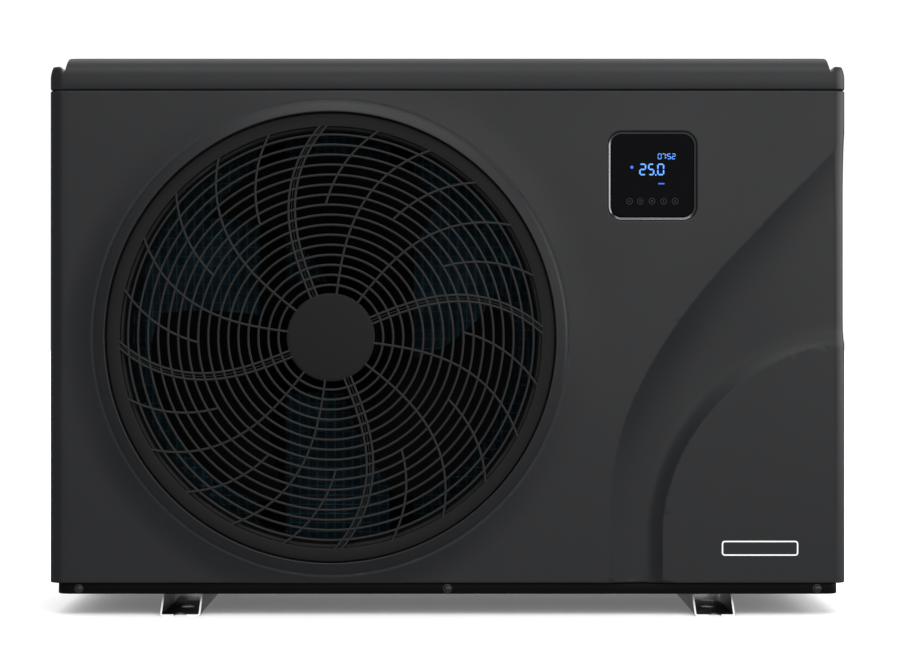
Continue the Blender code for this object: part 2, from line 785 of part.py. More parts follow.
def coil():
    """Finned block bent round the rear left corner, seen from above as a comb."""
    r_mid = 55.0
    thick = 26.0
    x_left, y_rear = -430.0, 132.0
    stations = []
    y = -150.0
    while y < y_rear - r_mid:
        stations.append(((x_left, y), (-1.0, 0.0)))
        y += 11.0
    for k in range(7):
        a = math.pi - math.pi / 2 * k / 6
        c = (x_left + r_mid, y_rear - r_mid)
        stations.append(((c[0] + r_mid * math.cos(a), c[1] + r_mid * math.sin(a)), (math.cos(a), math.sin(a))))
    x = x_left + r_mid + 11.0
    while x < 150.0:
        stations.append(((x, y_rear), (0.0, 1.0)))
        x += 11.0
    outer = []
    inner = []
    for i, ((x, y), (nx, ny)) in enumerate(stations):
        for side, reach in ((outer, 0.5), (inner, -0.5)):
            depth = thick if i % 2 else thick - 7.0
            side.append((x + nx * depth * reach, y + ny * depth * reach))
    return prism("Z", outer + inner[::-1], 62.0, 618.0)


def guard():
    """Moulded grid over the rear of the coil."""
    x0, x1, z0, z1 = -435.2, 158.0, SHELL_Z0, SHELL_Z1
    holes = []
    cols, rows = 6, 13
    pitch_x = (x1 - x0 - 20) / cols
    pitch_z = (z1 - z0 - 20) / rows
    for i in range(cols):
        for j in range(rows):
            a = x0 + 13 + pitch_x * i
            b = z0 + 13 + pitch_z * j
            holes.append([(a, b), (a + pitch_x - 6, b), (a + pitch_x - 6, b + pitch_z - 6),
                          (a, b + pitch_z - 6)])
    return prism("Y", [(x0, z0), (x1, z0), (x1, z1), (x0, z1)], 153.5, 159.0, holes)


def union_set(name, z):
    """Fixed tail, turning nut and pipe socket of one water connection."""
    tail = [(22, 147.0), (33, 147.0), (33, 150.0), (27, 150.0), (27, 175.5), (30.5, 176.0), (30.5, 180.6), (22, 180.6)]
    make(name + "_tail", lathe("Y", PORT_X, z, tail), "pvc", smooth=False)
    socket = [(22, 181.0), (30.8, 181.0), (30.8, 185.8), (29.0, 186.2), (29.0, SOCKET_END), (25.1, SOCKET_END),
              (25.1, 188.0), (22, 188.0)]
    make(name + "_socket", lathe("Y", PORT_X, z, socket), "pvc")
    inner = [(31.4, 166.0), (31.4, 186.6), (29.5, 186.6), (29.5, 191.0)]
    shape = [(39.0, 191.0), (40.0, 189.0), (40.0, 168.0), (39.0, 166.0)] + inner
    verts, faces = lathe("Y", PORT_X, z, shape, 24)
    out = []
    for x, y, w in verts:
        dx, dz = x - PORT_X, w - z
        r = math.hypot(dx, dz)
        k = round(math.atan2(dz, dx) / (2 * math.pi) * 24) % 4
        scale = 0.945 if r > 35 and k in (0, 1) else 1.0
        out.append((PORT_X + dx * scale, y, z + dz * scale))
    make(name + "_union_nut", (out, faces), "pvc", origin=(PORT_X, 178.0, z))


def screw(name, x, y, z, axis="Y", sign=-1, r=5.2, kind="steel"):
    """Pan-head screw standing on a face."""
    shape = [(0, 0.3), (r, 0.3), (r, 1.6), (r * 0.72, 3.0), (r * 0.34, 3.0), (r * 0.34, 1.7), (0, 1.7)]
    base = {"X": x, "Y": y, "Z": z}[axis]
    u, v = {"X": (y, z), "Y": (x, z), "Z": (x, y)}[axis]
    make(name, lathe(axis, u, v, [(q, base + sign * a) for q, a in shape], 12), kind)


def display():
    """Bezel frame, glass and the board behind."""
    def ring(half, r, y):
        loop = rounded(DISP_X - half, DISP_X + half, DISP_Z - half, DISP_Z + half, r, 5)
        return [(x, y, z) for x, z in loop]
    frame = [ring(53.0, 16.6, -200.4), ring(50.6, 14.2, -198.2), ring(50.6, 14.2, -190.0), ring(53.0, 16.6, -190.0)]
    make("display_bezel", loft(frame, cap=False), "grey")
    glass = [p[::2] for p in ring(50.2, 13.8, 0)]
    make("display_glass", prism("Y", glass, -198.2, -195.4), "glass")
    make("display_board", prism("Y", rounded(DISP_X - 46, DISP_X + 46, DISP_Z - 46, DISP_Z + 46, 6, 2),
                                -194.6, -192.6), "pcb")


def gauge():
    """Refrigerant pressure gauge set in the rear panel."""
    x, z = GAUGE_X, GAUGE_Z
    cup = [(0, 149.0), (24.0, 149.0), (24.0, 160.4), (29.0, 160.4), (29.0, 163.0), (24.6, 163.0), (23.2, 161.6),
           (23.2, 152.0), (0, 152.0)]
    make("gauge_body", lathe("Y", x, z, cup, 24), "black")
    make("gauge_dial", lathe("Y", x, z, [(2.0, 152.4), (22.8, 152.4), (22.8, 153.4), (2.0, 153.4)], 24), "white")
    hub = lathe("Y", x, z, [(0, 152.4), (1.7, 152.4), (1.7, 154.2), (3.4, 154.2), (3.4, 156.4), (0, 156.4)], 16)
    a = math.radians(315)
    direction = (math.cos(a), math.sin(a))
    side = (-direction[1], direction[0])
    def at(along, across):
        return (x + direction[0] * along + side[0] * across, z + direction[1] * along + side[1] * across)
    pointer = prism("Y", [at(-6, -1.2), at(-6, 1.2), at(18.5, 0.35), at(18.5, -0.35)], 154.7, 155.7)
    obj = fuse("gauge_needle", [hub, pointer], "red")
    set_origin(obj, (x, 155.0, z))
    make("gauge_glass", lathe("Y", x, z, [(0, 158.2), (22.8, 158.2), (22.8, 159.8), (0, 159.8)], 24), "clear")


def comb(x0, x1, y0, y1, base, fins):
    """Heat sink outline: a base with upright fins."""
    pts = [(x0, y0), (x1, y0)]
    pitch = (x1 - x0) / (2 * fins - 1)
    for k in range(fins):
        right = x1 - 2 * k * pitch
        left = right - pitch
        pts += [(right, y1), (left, y1)]
        if k < fins - 1:
            pts += [(left, y0 + base), (left - pitch, y0 + base)]
    return pts


def refrigerant_set():
    body = lathe("Z", 255, 45, [(0, 66), (40, 66), (62, 76), (63, 90), (63, 300), (60, 316), (40, 332), (0, 336)])
    plate = prism("Z", [(179, 4), (331, 4), (331, 22), (268, 128), (242, 128), (179, 22)], 60, 64.5)
    neck = lathe("Z", 255, 45, [(0, 62), (50, 62), (50, 74), (0, 74)])
    fuse("compressor", [body, plate, neck], "black")
    for k, (x, y) in enumerate(((190, 14), (320, 14), (255, 117))):
        shape = [(0, 27.4), (13, 27.4), (13, 34), (10, 37), (10, 50), (13, 53), (13, 59.6), (0, 59.6)]
        make(f"compressor_foot_{k + 1}", lathe("Z", x, y, shape, 16), "rubber")
    shape = [(0, 84), (26, 86), (34, 96), (34, 250), (26, 262), (0, 266)]
    elbow = rod([(330, -65, 150), (285, -65, 150), (262, -45, 150), (257, -18.6, 150)], 6)
    fuse("accumulator", [lathe("Z", 345, -65, shape), elbow], "black")
    shell = [(0, 64), (50, 64), (58, 72), (58, 470), (50, 480), (0, 484)]
    make("heat_exchanger", lathe("Z", PORT_X, 88, shell), "pvc")
    valve = rod([(205, 60, 398), (305, 60, 398)], 13, 16)
    make("four_way_valve", valve, "brass")
    make("discharge_pipe", rod(bend([(255, 60, 336.5), (255, 60, 384.6)], 5), 5), "copper")
    path = bend([(282, 60, 412), (282, 60, 428), (282, -65, 428), (345, -65, 428), (345, -65, 266.6)], 14)
    make("suction_pipe", rod(path, 6), "copper")
    path = bend([(228, 60, 412), (228, 60, 440), (228, 135, 440), (174, 135, 440)], 14)
    make("gas_pipe", rod(path, 6), "copper")
    path = bend([(342.6, 41.8, 150), (331, 27.5, 150), (331, 27.5, 290), (331, -30, 290), (182, -30, 290),
                 (182, -30, 212), (184, 135, 212), (184, 135, 235.6)], 8)
    make("liquid_pipe", rod(path, 4), "copper")
    make("expansion_valve", lathe("Z", 184, 135, [(0, 236), (9, 236), (9, 254), (12, 256), (12, 290), (0, 292)], 16),
         "brass")
    header = rod([(165, 135, 80), (165, 135, 600)], 7, 12)
    stubs = [rod([(165, 135, z), (150.6, 135, z)], 3.5, 8) for z in range(100, 600, 80)]
    fuse("coil_header", [header] + stubs, "copper")


def electrics():
    x0, x1, y0, y1, z0, z1 = 186.0, 452.0, -150.0, -30.0, 468.0, 612.0
    obj = make("control_box", box(x0, x1, y0, y1, z0, z1), "galvanised")
    cut(obj, [box(x0 + 1.5, x1 - 1.5, y0 - 5, y1 - 1.5, z0 + 1.5, z1 - 1.5)])
    parts = [box(205, 380, -42, -40, 485, 600), box(215, 245, -62, -41, 550, 590),
             box(255, 275, -70, -41, 552, 588), box(290, 330, -55, -41, 495, 530)]
    fuse("main_board", parts, "pcb")
    make("heat_sink", prism("Z", comb(210, 330, -29.6, 4, 5, 8), 486, 590), "alu")
    make("reactor", lathe("Y", 418, 562, [(14, -62), (30, -62), (30, -34), (14, -34)], 24), "copper")
    make("terminal_block", prism("Z", comb(392, 444, -33, -52, -12, 5), 488, 506), "black")
    make("partition_plate", prism("X", [(-182, 62), (96, 62), (96, 622), (-182, 622)], 166, 167.2), "galvanised")


def rear_face():
    x0, x1 = 159.0, HALF_W - REAR_RETURN - 0.8
    outline = [(x0, SHELL_Z0), (x1, SHELL_Z0), (x1, SHELL_Z1), (x0, SHELL_Z1)]
    holes = [circle(PORT_X, z, 28, 24) for z in PORT_Z]
    holes.append(circle(GAUGE_X, GAUGE_Z, 24.6, 24))
    holes.append(circle(215, 120, 10.4, 16))
    make("rear_panel", prism("Y", outline, BACK - 3.4, BACK - 0.4, holes), "charcoal")
    gland = [(7.0, 150.0), (10.0, 150.0), (10.0, 160.0), (15.5, 160.0), (15.5, 165.0), (13.0, 166.0), (13.0, 178.0),
             (10.0, 182.0), (7.0, 182.0)]
    make("cable_gland", lathe("Y", 215, 120, gland, 16), "black")
    cover = rounded(185, 265, 200, 330, 8, 3)
    make("wiring_cover", prism("Y", cover, 160.0, 164.5), "charcoal")


def build():
    clear_scene()
    make("base_pan", pan(), "black")
    foot(-1)
    foot(1)
    make("front_panel", front_panel(), "charcoal")
    make("top_cover", lid(), "charcoal")
    make("left_panel", side_panel(-1), "charcoal")
    make("right_panel", side_panel(1), "charcoal")
    make("grip_left", hand_grip(-1), "black")
    make("grip_right", hand_grip(1), "black")
    make("fan_grille", grille(), "grille")
    make("fan_shroud", shroud(), "black")
    fan()
    make("fan_shaft", lathe("Y", FAN_X, FAN_Z, [(0, -176), (6, -176), (6, -60), (0, -60)], 24), "steel",
         origin=(FAN_X, -150.0, FAN_Z))
    nut = prism("Y", circle(FAN_X, FAN_Z, 11, 6), -174, -169, [circle(FAN_X, FAN_Z, 6.4, 24)])
    make("fan_nut", nut, "steel", origin=(FAN_X, -150.0, FAN_Z))
    motor = [(6.1, -98), (16, -98), (16, -92), (52, -90), (56, -84), (56, -16), (50, -8), (0, -8), (0, -58),
             (6.1, -58)]
    make("fan_motor", lathe("Y", FAN_X, FAN_Z, motor, 24), "grey")
    make_bracket()
    make("evaporator_coil", coil(), "fin_blue")
    make("rear_guard", guard(), "black")
    display()
    badge = rounded(327, 419, 71, 89.6, 4, 3)
    make("badge_plate", prism("Y", badge, -201.2, -200.3), "steel")
    for name, x in (("left", -441.0), ("centre", 0.0), ("right", 442.0)):
        screw(f"pan_screw_{name}", x, FRONT + 7, 31.5)
    for name, x in (("left", -300.0), ("right", 300.0)):
        screw(f"cover_screw_{name}", x, BACK, 634.0, sign=1, r=4.5)
    rear_face()
    for name, z in zip(("inlet", "outlet"), PORT_Z):
        union_set(name, z)
    gauge()
    refrigerant_set()
    electrics()
    spout = [(5.5, 6), (8, 6), (8, 21), (13, 21), (13, 24.6), (5.5, 24.6)]
    make("drain_spout", lathe("Z", -60, 20, spout, 16), "black")


build()
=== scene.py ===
"""Pool heat pump unit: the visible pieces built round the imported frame.

Lengths in the helpers are in millimetres, in the frame's own axes: front -Y, +Z up.
"""
import math

import bmesh
import bpy
import numpy as np
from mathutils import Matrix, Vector
from mathutils.geometry import delaunay_2d_cdt


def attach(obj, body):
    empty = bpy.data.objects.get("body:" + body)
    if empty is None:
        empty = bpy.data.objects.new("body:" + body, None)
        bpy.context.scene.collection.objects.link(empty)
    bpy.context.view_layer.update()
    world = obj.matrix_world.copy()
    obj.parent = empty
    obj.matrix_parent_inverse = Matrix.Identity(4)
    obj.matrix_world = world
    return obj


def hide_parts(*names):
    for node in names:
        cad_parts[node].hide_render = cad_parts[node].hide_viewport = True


MM = 0.001
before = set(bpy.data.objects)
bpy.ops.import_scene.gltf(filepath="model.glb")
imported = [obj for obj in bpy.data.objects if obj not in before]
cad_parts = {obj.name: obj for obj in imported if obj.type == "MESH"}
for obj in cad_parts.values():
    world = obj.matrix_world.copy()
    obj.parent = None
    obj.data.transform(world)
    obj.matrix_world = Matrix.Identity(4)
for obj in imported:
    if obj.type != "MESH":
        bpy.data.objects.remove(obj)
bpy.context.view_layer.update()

# casing
HALF_W, FRONT, BACK, CORNER_R, SKIN = 476.0, -200.0, 160.0, 17.0, 3.0
SHELL_Z0, SHELL_Z1, LID_Z0, LID_TOP = 38.5, 626.8, 627.6, 667.0
RETURN, REAR_RETURN = 60.0, 40.0
PAN_HALF, PAN_Z0, PAN_STEP, PAN_TOP = 467.0, 25.0, 37.8, 58.0
FOOT_X, FOOT_W, FOOT_H = 318.5, 48.0, 24.7
FOOT_FRONT, FOOT_SLOPE = -210.0, 40.0
HAND_Y, HAND_Z = (-30.0, 70.0), (505.0, 545.0)

# fan
FAN_X, FAN_Z = -139.5, 332.0
PORT_R, RING_R, HALO = 269.0, 282.5, 38.0
RIM_IN, RIM_OUT, HUB_R = 251.6, 268.2, 53.0
RINGS, RING_R0, RING_PITCH, BAR = 16, 62.6, 11.98, 3.1
GRILLE_Y, THROAT_R, BLADE_R, BLADES = -198.6, 246.0, 224.0, 3

# display, badge, water side, gauge
DISP_X, DISP_Z, DISP_HALF, DISP_R = 244.6, 524.9, 53.0, 16.6
GLASS_Y = -198.2
PORT_X, PORT_Z, SOCKET_END = 380.0, (150.0, 410.0), 203.0
GAUGE_X, GAUGE_Z = 290.0, 430.0
GLAND_X, GLAND_Z = 215.0, 120.0

# sweeping recess
WAVE_TOP = [(193, 30), (193, 124), (206, 213), (243, 299), (302, 385), (376, 467), (476, 570), (545, 641)]
WAVE_LOW = dict(cx=477.0, cz=100.0, a=220.0, b=224.0, n=1.88)
WAVE_DEPTH = 9.5

# stage, in metres: the floor's glow by distance from the unit, the room's brightness for each kind of ray
FLOOR_GLOW = dict(From_Min=0.5, From_Max=2.4, To_Min=0.14, To_Max=1.0)
WORLD_DIFFUSE, WORLD_GLOSSY, WORLD_SEEN = 1.05, 0.15, 1.05
# each softbox: place, what it faces, width and height, watts
SOFTBOXES = {
    "overhead": ((0.0, 0.7, 3.3), (0.0, 0.7, 0.0), (4.6, 3.8), 78),
    "front_soft": ((1.2, -6.2, 1.6), (0.1, 0.0, 0.35), (5.5, 3.4), 70),
    "back_soft": ((-1.0, 5.6, 1.9), (-0.1, 0.0, 0.35), (4.5, 2.6), 60),
    "brow_soft": ((0.4, -3.6, 4.2), (0.0, -0.1, 0.5), (4.5, 1.6), 60),
    "right_soft": ((2.5, -0.3, 0.95), (0.48, -0.1, 0.4), (3.2, 1.7), 36),
}
CAM_PLACE, CAM_SENSOR, CAM_LENS, CAM_SHIFT = (0.0, -3.5, 0.342), 36.0, 108.05, 0.014115


# ---- materials -------------------------------------------------------------------------

class Finish:
    """A Principled material with procedural variation of colour, roughness and relief."""

    def __init__(self, name, colour, rough, metal=0.0, **sockets):
        self.mat = bpy.data.materials.new(name)
        self.mat.use_nodes = True
        self.tree = self.mat.node_tree
        self.bsdf = self.tree.nodes["Principled BSDF"]
        self.colour = (*colour, 1.0)
        self.bsdf.inputs["Base Color"].default_value = self.colour
        self.bsdf.inputs["Roughness"].default_value = rough
        self.bsdf.inputs["Metallic"].default_value = metal
        for key, value in sockets.items():
            self.bsdf.inputs[key.replace("_", " ")].default_value = value
        self.coord = self.node("ShaderNodeTexCoord").outputs["Object"]

    def node(self, kind, **values):
        made = self.tree.nodes.new(kind)
        for key, value in values.items():
            if hasattr(made, key):
                setattr(made, key, value)
            else:
                made.inputs[key.replace("_", " ")].default_value = value
        return made

    def link(self, a, b):
        self.tree.links.new(a, b)

    def stretched(self, scale):
        mapping = self.node("ShaderNodeMapping")
        mapping.inputs["Scale"].default_value = scale
        self.link(self.coord, mapping.inputs["Vector"])
        return mapping.outputs["Vector"]

    def noise(self, scale, detail=2.0, stretch=None):
        made = self.node("ShaderNodeTexNoise", Scale=scale, Detail=detail, Roughness=0.5)
        self.link(self.stretched(stretch) if stretch else self.coord, made.inputs["Vector"])
        return made.outputs["Fac"]

    def spread(self, value, low, high, lo_in=0.3, hi_in=0.7):
        made = self.node("ShaderNodeMapRange", From_Min=lo_in, From_Max=hi_in, To_Min=low, To_Max=high)
        self.link(value, made.inputs["Value"])
        return made.outputs["Result"]

    def over(self, mix):
        """Lays a colour mix over whatever feeds the base colour."""
        source = self.bsdf.inputs["Base Color"]
        if source.links:
            self.link(source.links[0].from_socket, mix.inputs["A"])
        else:
            mix.inputs["A"].default_value = self.colour
        self.link(mix.outputs["Result"], source)
        return self

    def tint(self, value, factor_low, factor_high, lo_in=0.3, hi_in=0.7):
        """Colour runs between two multiples of the base colour."""
        mix = self.node("ShaderNodeMix", data_type="RGBA", blend_type="MULTIPLY")
        mix.inputs["Factor"].default_value = 1.0
        grey = self.node("ShaderNodeCombineColor")
        level = self.spread(value, factor_low, factor_high, lo_in, hi_in)
        for channel in ("Red", "Green", "Blue"):
            self.link(level, grey.inputs[channel])
        self.link(grey.outputs["Color"], mix.inputs["B"])
        return self.over(mix)

    def blend_to(self, value, colour, lo_in, hi_in):
        """Mixes another colour in where value is high."""
        mix = self.node("ShaderNodeMix", data_type="RGBA")
        self.link(self.spread(value, 0.0, 1.0, lo_in, hi_in), mix.inputs["Factor"])
        mix.inputs["B"].default_value = (*colour, 1.0)
        return self.over(mix)

    def roughen(self, value, low, high):
        self.link(self.spread(value, low, high), self.bsdf.inputs["Roughness"])

    def relief(self, value, strength, distance):
        bump = self.node("ShaderNodeBump", Strength=strength, Distance=distance)
        self.link(value, bump.inputs["Height"])
        self.link(bump.outputs["Normal"], self.bsdf.inputs["Normal"])

    def worn(self, colour):
        """Lighter rubbed edges."""
        edge = self.node("ShaderNodeNewGeometry").outputs["Pointiness"]
        self.blend_to(edge, colour, 0.53, 0.62)


def moulded(name, colour, rough, grain=0.25, grain_scale=1500.0, wear=None, **sockets):
    """Injection-moulded plastic: fine spark-eroded grain and slow changes of gloss."""
    f = Finish(name, colour, rough, **sockets)
    fine = f.noise(grain_scale, 3.0)
    slow = f.noise(5.0, 2.0)
    f.tint(slow, 0.94, 1.06)
    f.tint(fine, 0.93, 1.07)
    f.roughen(slow, rough - 0.05, rough + 0.06)
    f.relief(fine, grain, 0.00012)
    if wear:
        f.worn(wear)
    return f.mat


def metal(name, colour, rough, streak=(8.0, 900.0, 900.0), depth=0.12, spangle=0.0, patina=None):
    """Drawn, rolled or zinc-coated metal."""
    f = Finish(name, colour, rough, metal=1.0)
    lines = f.noise(1.0, 3.0, streak)
    cloud = f.noise(14.0, 3.0)
    f.tint(cloud, 0.84, 1.08)
    f.tint(lines, 0.95, 1.04)
    f.roughen(cloud, max(rough - 0.08, 0.05), rough + 0.1)
    if spangle:
        flakes = f.node("ShaderNodeTexVoronoi", Scale=spangle)
        f.link(f.coord, flakes.inputs["Vector"])
        grey = f.node("ShaderNodeRGBToBW")
        f.link(flakes.outputs["Color"], grey.inputs["Color"])
        f.tint(grey.outputs["Val"], 0.82, 1.1, 0.2, 0.8)
    if patina:
        f.blend_to(f.noise(60.0, 4.0), patina, 0.52, 0.75)
    f.relief(lines, depth, 0.00008)
    return f.mat


def painted(name, colour, rough, wear=None, **sockets):
    """Powder coat with orange peel."""
    f = Finish(name, colour, rough, **sockets)
    peel_map = f.noise(420.0, 2.0)
    slow = f.noise(7.0, 2.0)
    f.tint(slow, 0.93, 1.07)
    f.roughen(slow, rough - 0.06, rough + 0.06)
    f.relief(peel_map, 0.12, 0.0002)
    if wear:
        f.worn(wear)
    return f.mat


def glow(name, colour, strength):
    """Lit segment: even light over a dark base colour that varies a little."""
    f = Finish(name, (0.02, 0.02, 0.03), 0.4)
    f.tint(f.noise(900.0), 0.8, 1.2)
    f.bsdf.inputs["Emission Color"].default_value = (*colour, 1.0)
    f.bsdf.inputs["Emission Strength"].default_value = strength
    return f.mat


def print_ink(name, colour):
    f = Finish(name, colour, 0.5)
    f.tint(f.noise(700.0), 0.9, 1.1)
    return f.mat


def fin_coat(name, colour, shine):
    """Blue hydrophilic coating on aluminium fin stock."""
    f = Finish(name, colour, 0.4, metal=shine)
    rib = f.noise(1.0, 2.0, (60.0, 60.0, 1400.0))
    f.tint(f.noise(22.0, 3.0), 0.6, 1.3)
    f.tint(rib, 0.85, 1.12)
    f.relief(rib, 0.2, 0.0002)
    f.roughen(f.noise(50.0), 0.32, 0.5)
    return f.mat


def board_green():
    f = Finish("board_green", (0.012, 0.10, 0.045), 0.35)
    f.tint(f.noise(220.0, 3.0), 0.7, 1.2)
    f.blend_to(f.noise(300.0, 0.0), (0.55, 0.45, 0.2), 0.66, 0.68)
    return f.mat


def clear_glass():
    f = Finish("gauge_clear", (0.95, 0.97, 0.98), 0.04, Transmission_Weight=1.0, IOR=1.2)
    f.roughen(f.noise(40.0), 0.02, 0.06)
    return f.mat


MAT = {
    "charcoal": moulded("charcoal_abs", (0.0082, 0.0090, 0.0106), 0.4, 0.2, wear=(0.02, 0.021, 0.023)),
    "lid": moulded("charcoal_abs_lid", (0.0090, 0.0098, 0.0114), 0.4, 0.2, wear=(0.022, 0.023, 0.025)),
    "grille": moulded("grille_plastic", (0.0075, 0.0075, 0.0078), 0.5, 0.18, 1100.0),
    "rim": moulded("rim_plastic", (0.0062, 0.0062, 0.0064), 0.5, 0.18, 1100.0, Specular_IOR_Level=0.26),
    "black": moulded("black_plastic", (0.008, 0.008, 0.009), 0.5, 0.15, wear=(0.03, 0.03, 0.03)),
    "blade": moulded("blade_plastic", (0.0010, 0.0010, 0.0011), 0.6, 0.12, Specular_IOR_Level=0.05),
    "rail": painted("rail_paint", (0.0015, 0.0015, 0.0016), 0.6, Specular_IOR_Level=0.06),
    "pvc": moulded("grey_pvc", (0.055, 0.058, 0.062), 0.33, 0.1, 600.0),
    "rubber": moulded("rubber", (0.012, 0.012, 0.012), 0.75, 0.4, 700.0),
    "bezel": metal("bezel_chrome", (0.24, 0.245, 0.25), 0.2, (300.0, 300.0, 300.0), 0.02),
    "glass": moulded("display_black", (0.0020, 0.0021, 0.0027), 0.10, 0.01, 90.0, Specular_IOR_Level=0.03),
    "pan": painted("pan_paint", (0.0016, 0.0016, 0.0018), 0.45, (0.006, 0.006, 0.006), Specular_IOR_Level=0.10),
    "vessel": painted("vessel_paint", (0.012, 0.012, 0.013), 0.4),
    "motor": painted("motor_paint", (0.006, 0.006, 0.0065), 0.5, Specular_IOR_Level=0.2),
    "zinc": metal("galvanised", (0.30, 0.305, 0.31), 0.34, spangle=90.0, depth=0.05),
    # painted highlight: pale matt colour for the strip on each foot's front edge, standing in for light glinting there
    "painted_edge_highlight": painted("foot_edge_painted_highlight", (0.80, 0.81, 0.82), 0.35),
    "steel": metal("bright_steel", (0.56, 0.56, 0.57), 0.27),
    "alu": metal("extruded_alu", (0.72, 0.73, 0.74), 0.33, (900.0, 900.0, 9.0)),
    "copper": metal("copper_tube", (0.70, 0.34, 0.19), 0.3, (300.0, 300.0, 30.0), patina=(0.30, 0.14, 0.08)),
    "brass": metal("brass", (0.66, 0.48, 0.21), 0.3, patina=(0.35, 0.24, 0.10)),
    "fins": fin_coat("fin_blue", (0.030, 0.075, 0.105), 0.3),
    "fin_edge": fin_coat("fin_blue_edge", (0.085, 0.20, 0.26), 0.4),
    "board": board_green(),
    "dial": moulded("dial_white", (0.78, 0.78, 0.76), 0.45, 0.03),
    "ink": print_ink("dial_ink", (0.01, 0.01, 0.01)),
    "needle": moulded("needle_red", (0.45, 0.02, 0.015), 0.35, 0.03),
    "clear": clear_glass(),
    "lit_white": glow("segment_white", (0.09, 0.33, 1.0), 1.6),
    "lit_blue": glow("segment_blue", (0.03, 0.16, 1.0), 1.0),
    "icon": print_ink("icon_grey", (0.016, 0.0165, 0.018)),
    "screw_dark": metal("blackened_steel", (0.10, 0.10, 0.105), 0.3),
    "border": print_ink("badge_border", (0.75, 0.76, 0.78)),
}


# ---- mesh helpers ----------------------------------------------------------------------

def link_mesh(name, body, dist=2e-6):
    """Object from (vertices in mm, faces), welded, facing out, shaded smooth."""
    verts, faces = body
    mesh = bpy.data.meshes.new(name)
    mesh.from_pydata([(x * MM, y * MM, z * MM) for x, y, z in verts], [], [tuple(f) for f in faces])
    bm = bmesh.new()
    bm.from_mesh(mesh)
    if dist:
        bmesh.ops.remove_doubles(bm, verts=bm.verts, dist=dist)
    bmesh.ops.recalc_face_normals(bm, faces=bm.faces)
    for face in bm.faces:
        face.smooth = True
    bm.to_mesh(mesh)
    bm.free()
    obj = bpy.data.objects.new(name, mesh)
    bpy.context.scene.collection.objects.link(obj)
    return obj


def round_edges(obj, width, segments):
    mod = obj.modifiers.new("edges", "BEVEL")
    mod.width, mod.segments, mod.limit_method = width, segments, "ANGLE"
    mod.angle_limit = math.radians(40)


def piece(name, body, mat, group="casing", stands_for=(), sharp=38.0, bevel=0.0):
    """One visible piece from (vertices in mm, faces)."""
    obj = link_mesh(name, body)
    obj.data.set_sharp_from_angle(angle=math.radians(sharp))
    obj.data.materials.append(MAT[mat])
    if bevel:
        round_edges(obj, bevel * MM, 3)
    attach(obj, group)
    if stands_for:
        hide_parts(*stands_for)
    return obj


def join(*bodies):
    verts, faces = [], []
    for v, f in bodies:
        base = len(verts)
        verts += list(v)
        faces += [tuple(i + base for i in face) for face in f]
    return verts, faces


def place(axis, u, v, a):
    return {"X": (a, u, v), "Y": (u, a, v), "Z": (u, v, a)}[axis]


def circle(cx, cy, r, n):
    return [(cx + r * math.cos(2 * math.pi * k / n), cy + r * math.sin(2 * math.pi * k / n)) for k in range(n)]


def flat_ring(loop, y):
    """Loop in x and z, set at one y."""
    return [(x, y, z) for x, z in loop]


def rounded(x0, x1, y0, y1, r, n=8, step=None):
    """Rounded rectangle; step splits the straight sides."""
    out = []
    corners = [(x1 - r, y1 - r, 0), (x0 + r, y1 - r, 90), (x0 + r, y0 + r, 180), (x1 - r, y0 + r, 270)]
    for cx, cy, a0 in corners:
        for k in range(n + 1):
            t = math.radians(a0 + 90.0 * k / n)
            out.append((cx + r * math.cos(t), cy + r * math.sin(t)))
    return subdivide(out, step) if step else out


def subdivide(loop, step, closed=True):
    out = []
    ends = loop[1:] + loop[:1] if closed else loop[1:]
    for p, q in zip(loop, ends):
        parts = max(1, int(math.dist(p, q) / step))
        out += [tuple(a + (b - a) * k / parts for a, b in zip(p, q)) for k in range(parts)]
    if not closed:
        out.append(loop[-1])
    return out


def shifted(loop, d):
    """Loop moved to the left of its travel by d, with mitred corners."""
    pts = np.array(loop, float)
    ahead = np.roll(pts, -1, 0) - pts
    ahead /= np.linalg.norm(ahead, axis=1)[:, None]
    back = np.roll(ahead, 1, 0)
    left_a = np.stack([-ahead[:, 1], ahead[:, 0]], 1)
    left_b = np.stack([-back[:, 1], back[:, 0]], 1)
    mitre = left_a + left_b
    mitre /= np.maximum((mitre * left_a).sum(1), 0.35)[:, None]
    return [tuple(p) for p in pts + mitre * d]


def loop_mask(points, loop):
    """Which points lie inside a loop."""
    x, y = points[:, 0], points[:, 1]
    hit = np.zeros(len(points), bool)
    pts = np.array(loop)
    for (x0, y0), (x1, y1) in zip(pts, np.roll(pts, -1, 0)):
        if y0 == y1:
            continue
        hit ^= ((y0 > y) != (y1 > y)) & (x < (x1 - x0) * (y - y0) / (y1 - y0) + x0)
    return hit


def triangulate(outline, holes=(), lines=(), points=()):
    coords, edges = [], []
    for loop in [outline, *holes]:
        base = len(coords)
        coords.extend(loop)
        edges.extend((base + k, base + (k + 1) % len(loop)) for k in range(len(loop)))
    for line in lines:
        base = len(coords)
        coords.extend(line)
        edges.extend((base + k, base + k + 1) for k in range(len(line) - 1))
    if len(points):
        pts = np.array(points, float)
        keep = loop_mask(pts, outline)
        for hole in holes:
            keep &= ~loop_mask(pts, hole)
        coords.extend(map(tuple, pts[keep]))
    made = delaunay_2d_cdt([Vector(c) for c in coords], edges, [], 0, 1e-5)
    verts = np.array([tuple(v) for v in made[0]])
    tris = np.array([tuple(f) for f in made[2]])
    centre = verts[tris].mean(1)
    keep = loop_mask(centre, outline)
    for hole in holes:
        keep &= ~loop_mask(centre, hole)
    tris = tris[keep]
    used = np.unique(tris)
    index = -np.ones(len(verts), int)
    index[used] = np.arange(len(used))
    where = {}
    for new, old in enumerate(used):
        for origin in made[3][old]:
            where[origin] = new
    return [tuple(v) for v in verts[used]], [tuple(int(index[i]) for i in t) for t in tris], where


def strip(faces, one, two):
    n = len(one)
    for k in range(n):
        m = (k + 1) % n
        faces.append((one[k], one[m], two[m], two[k]))


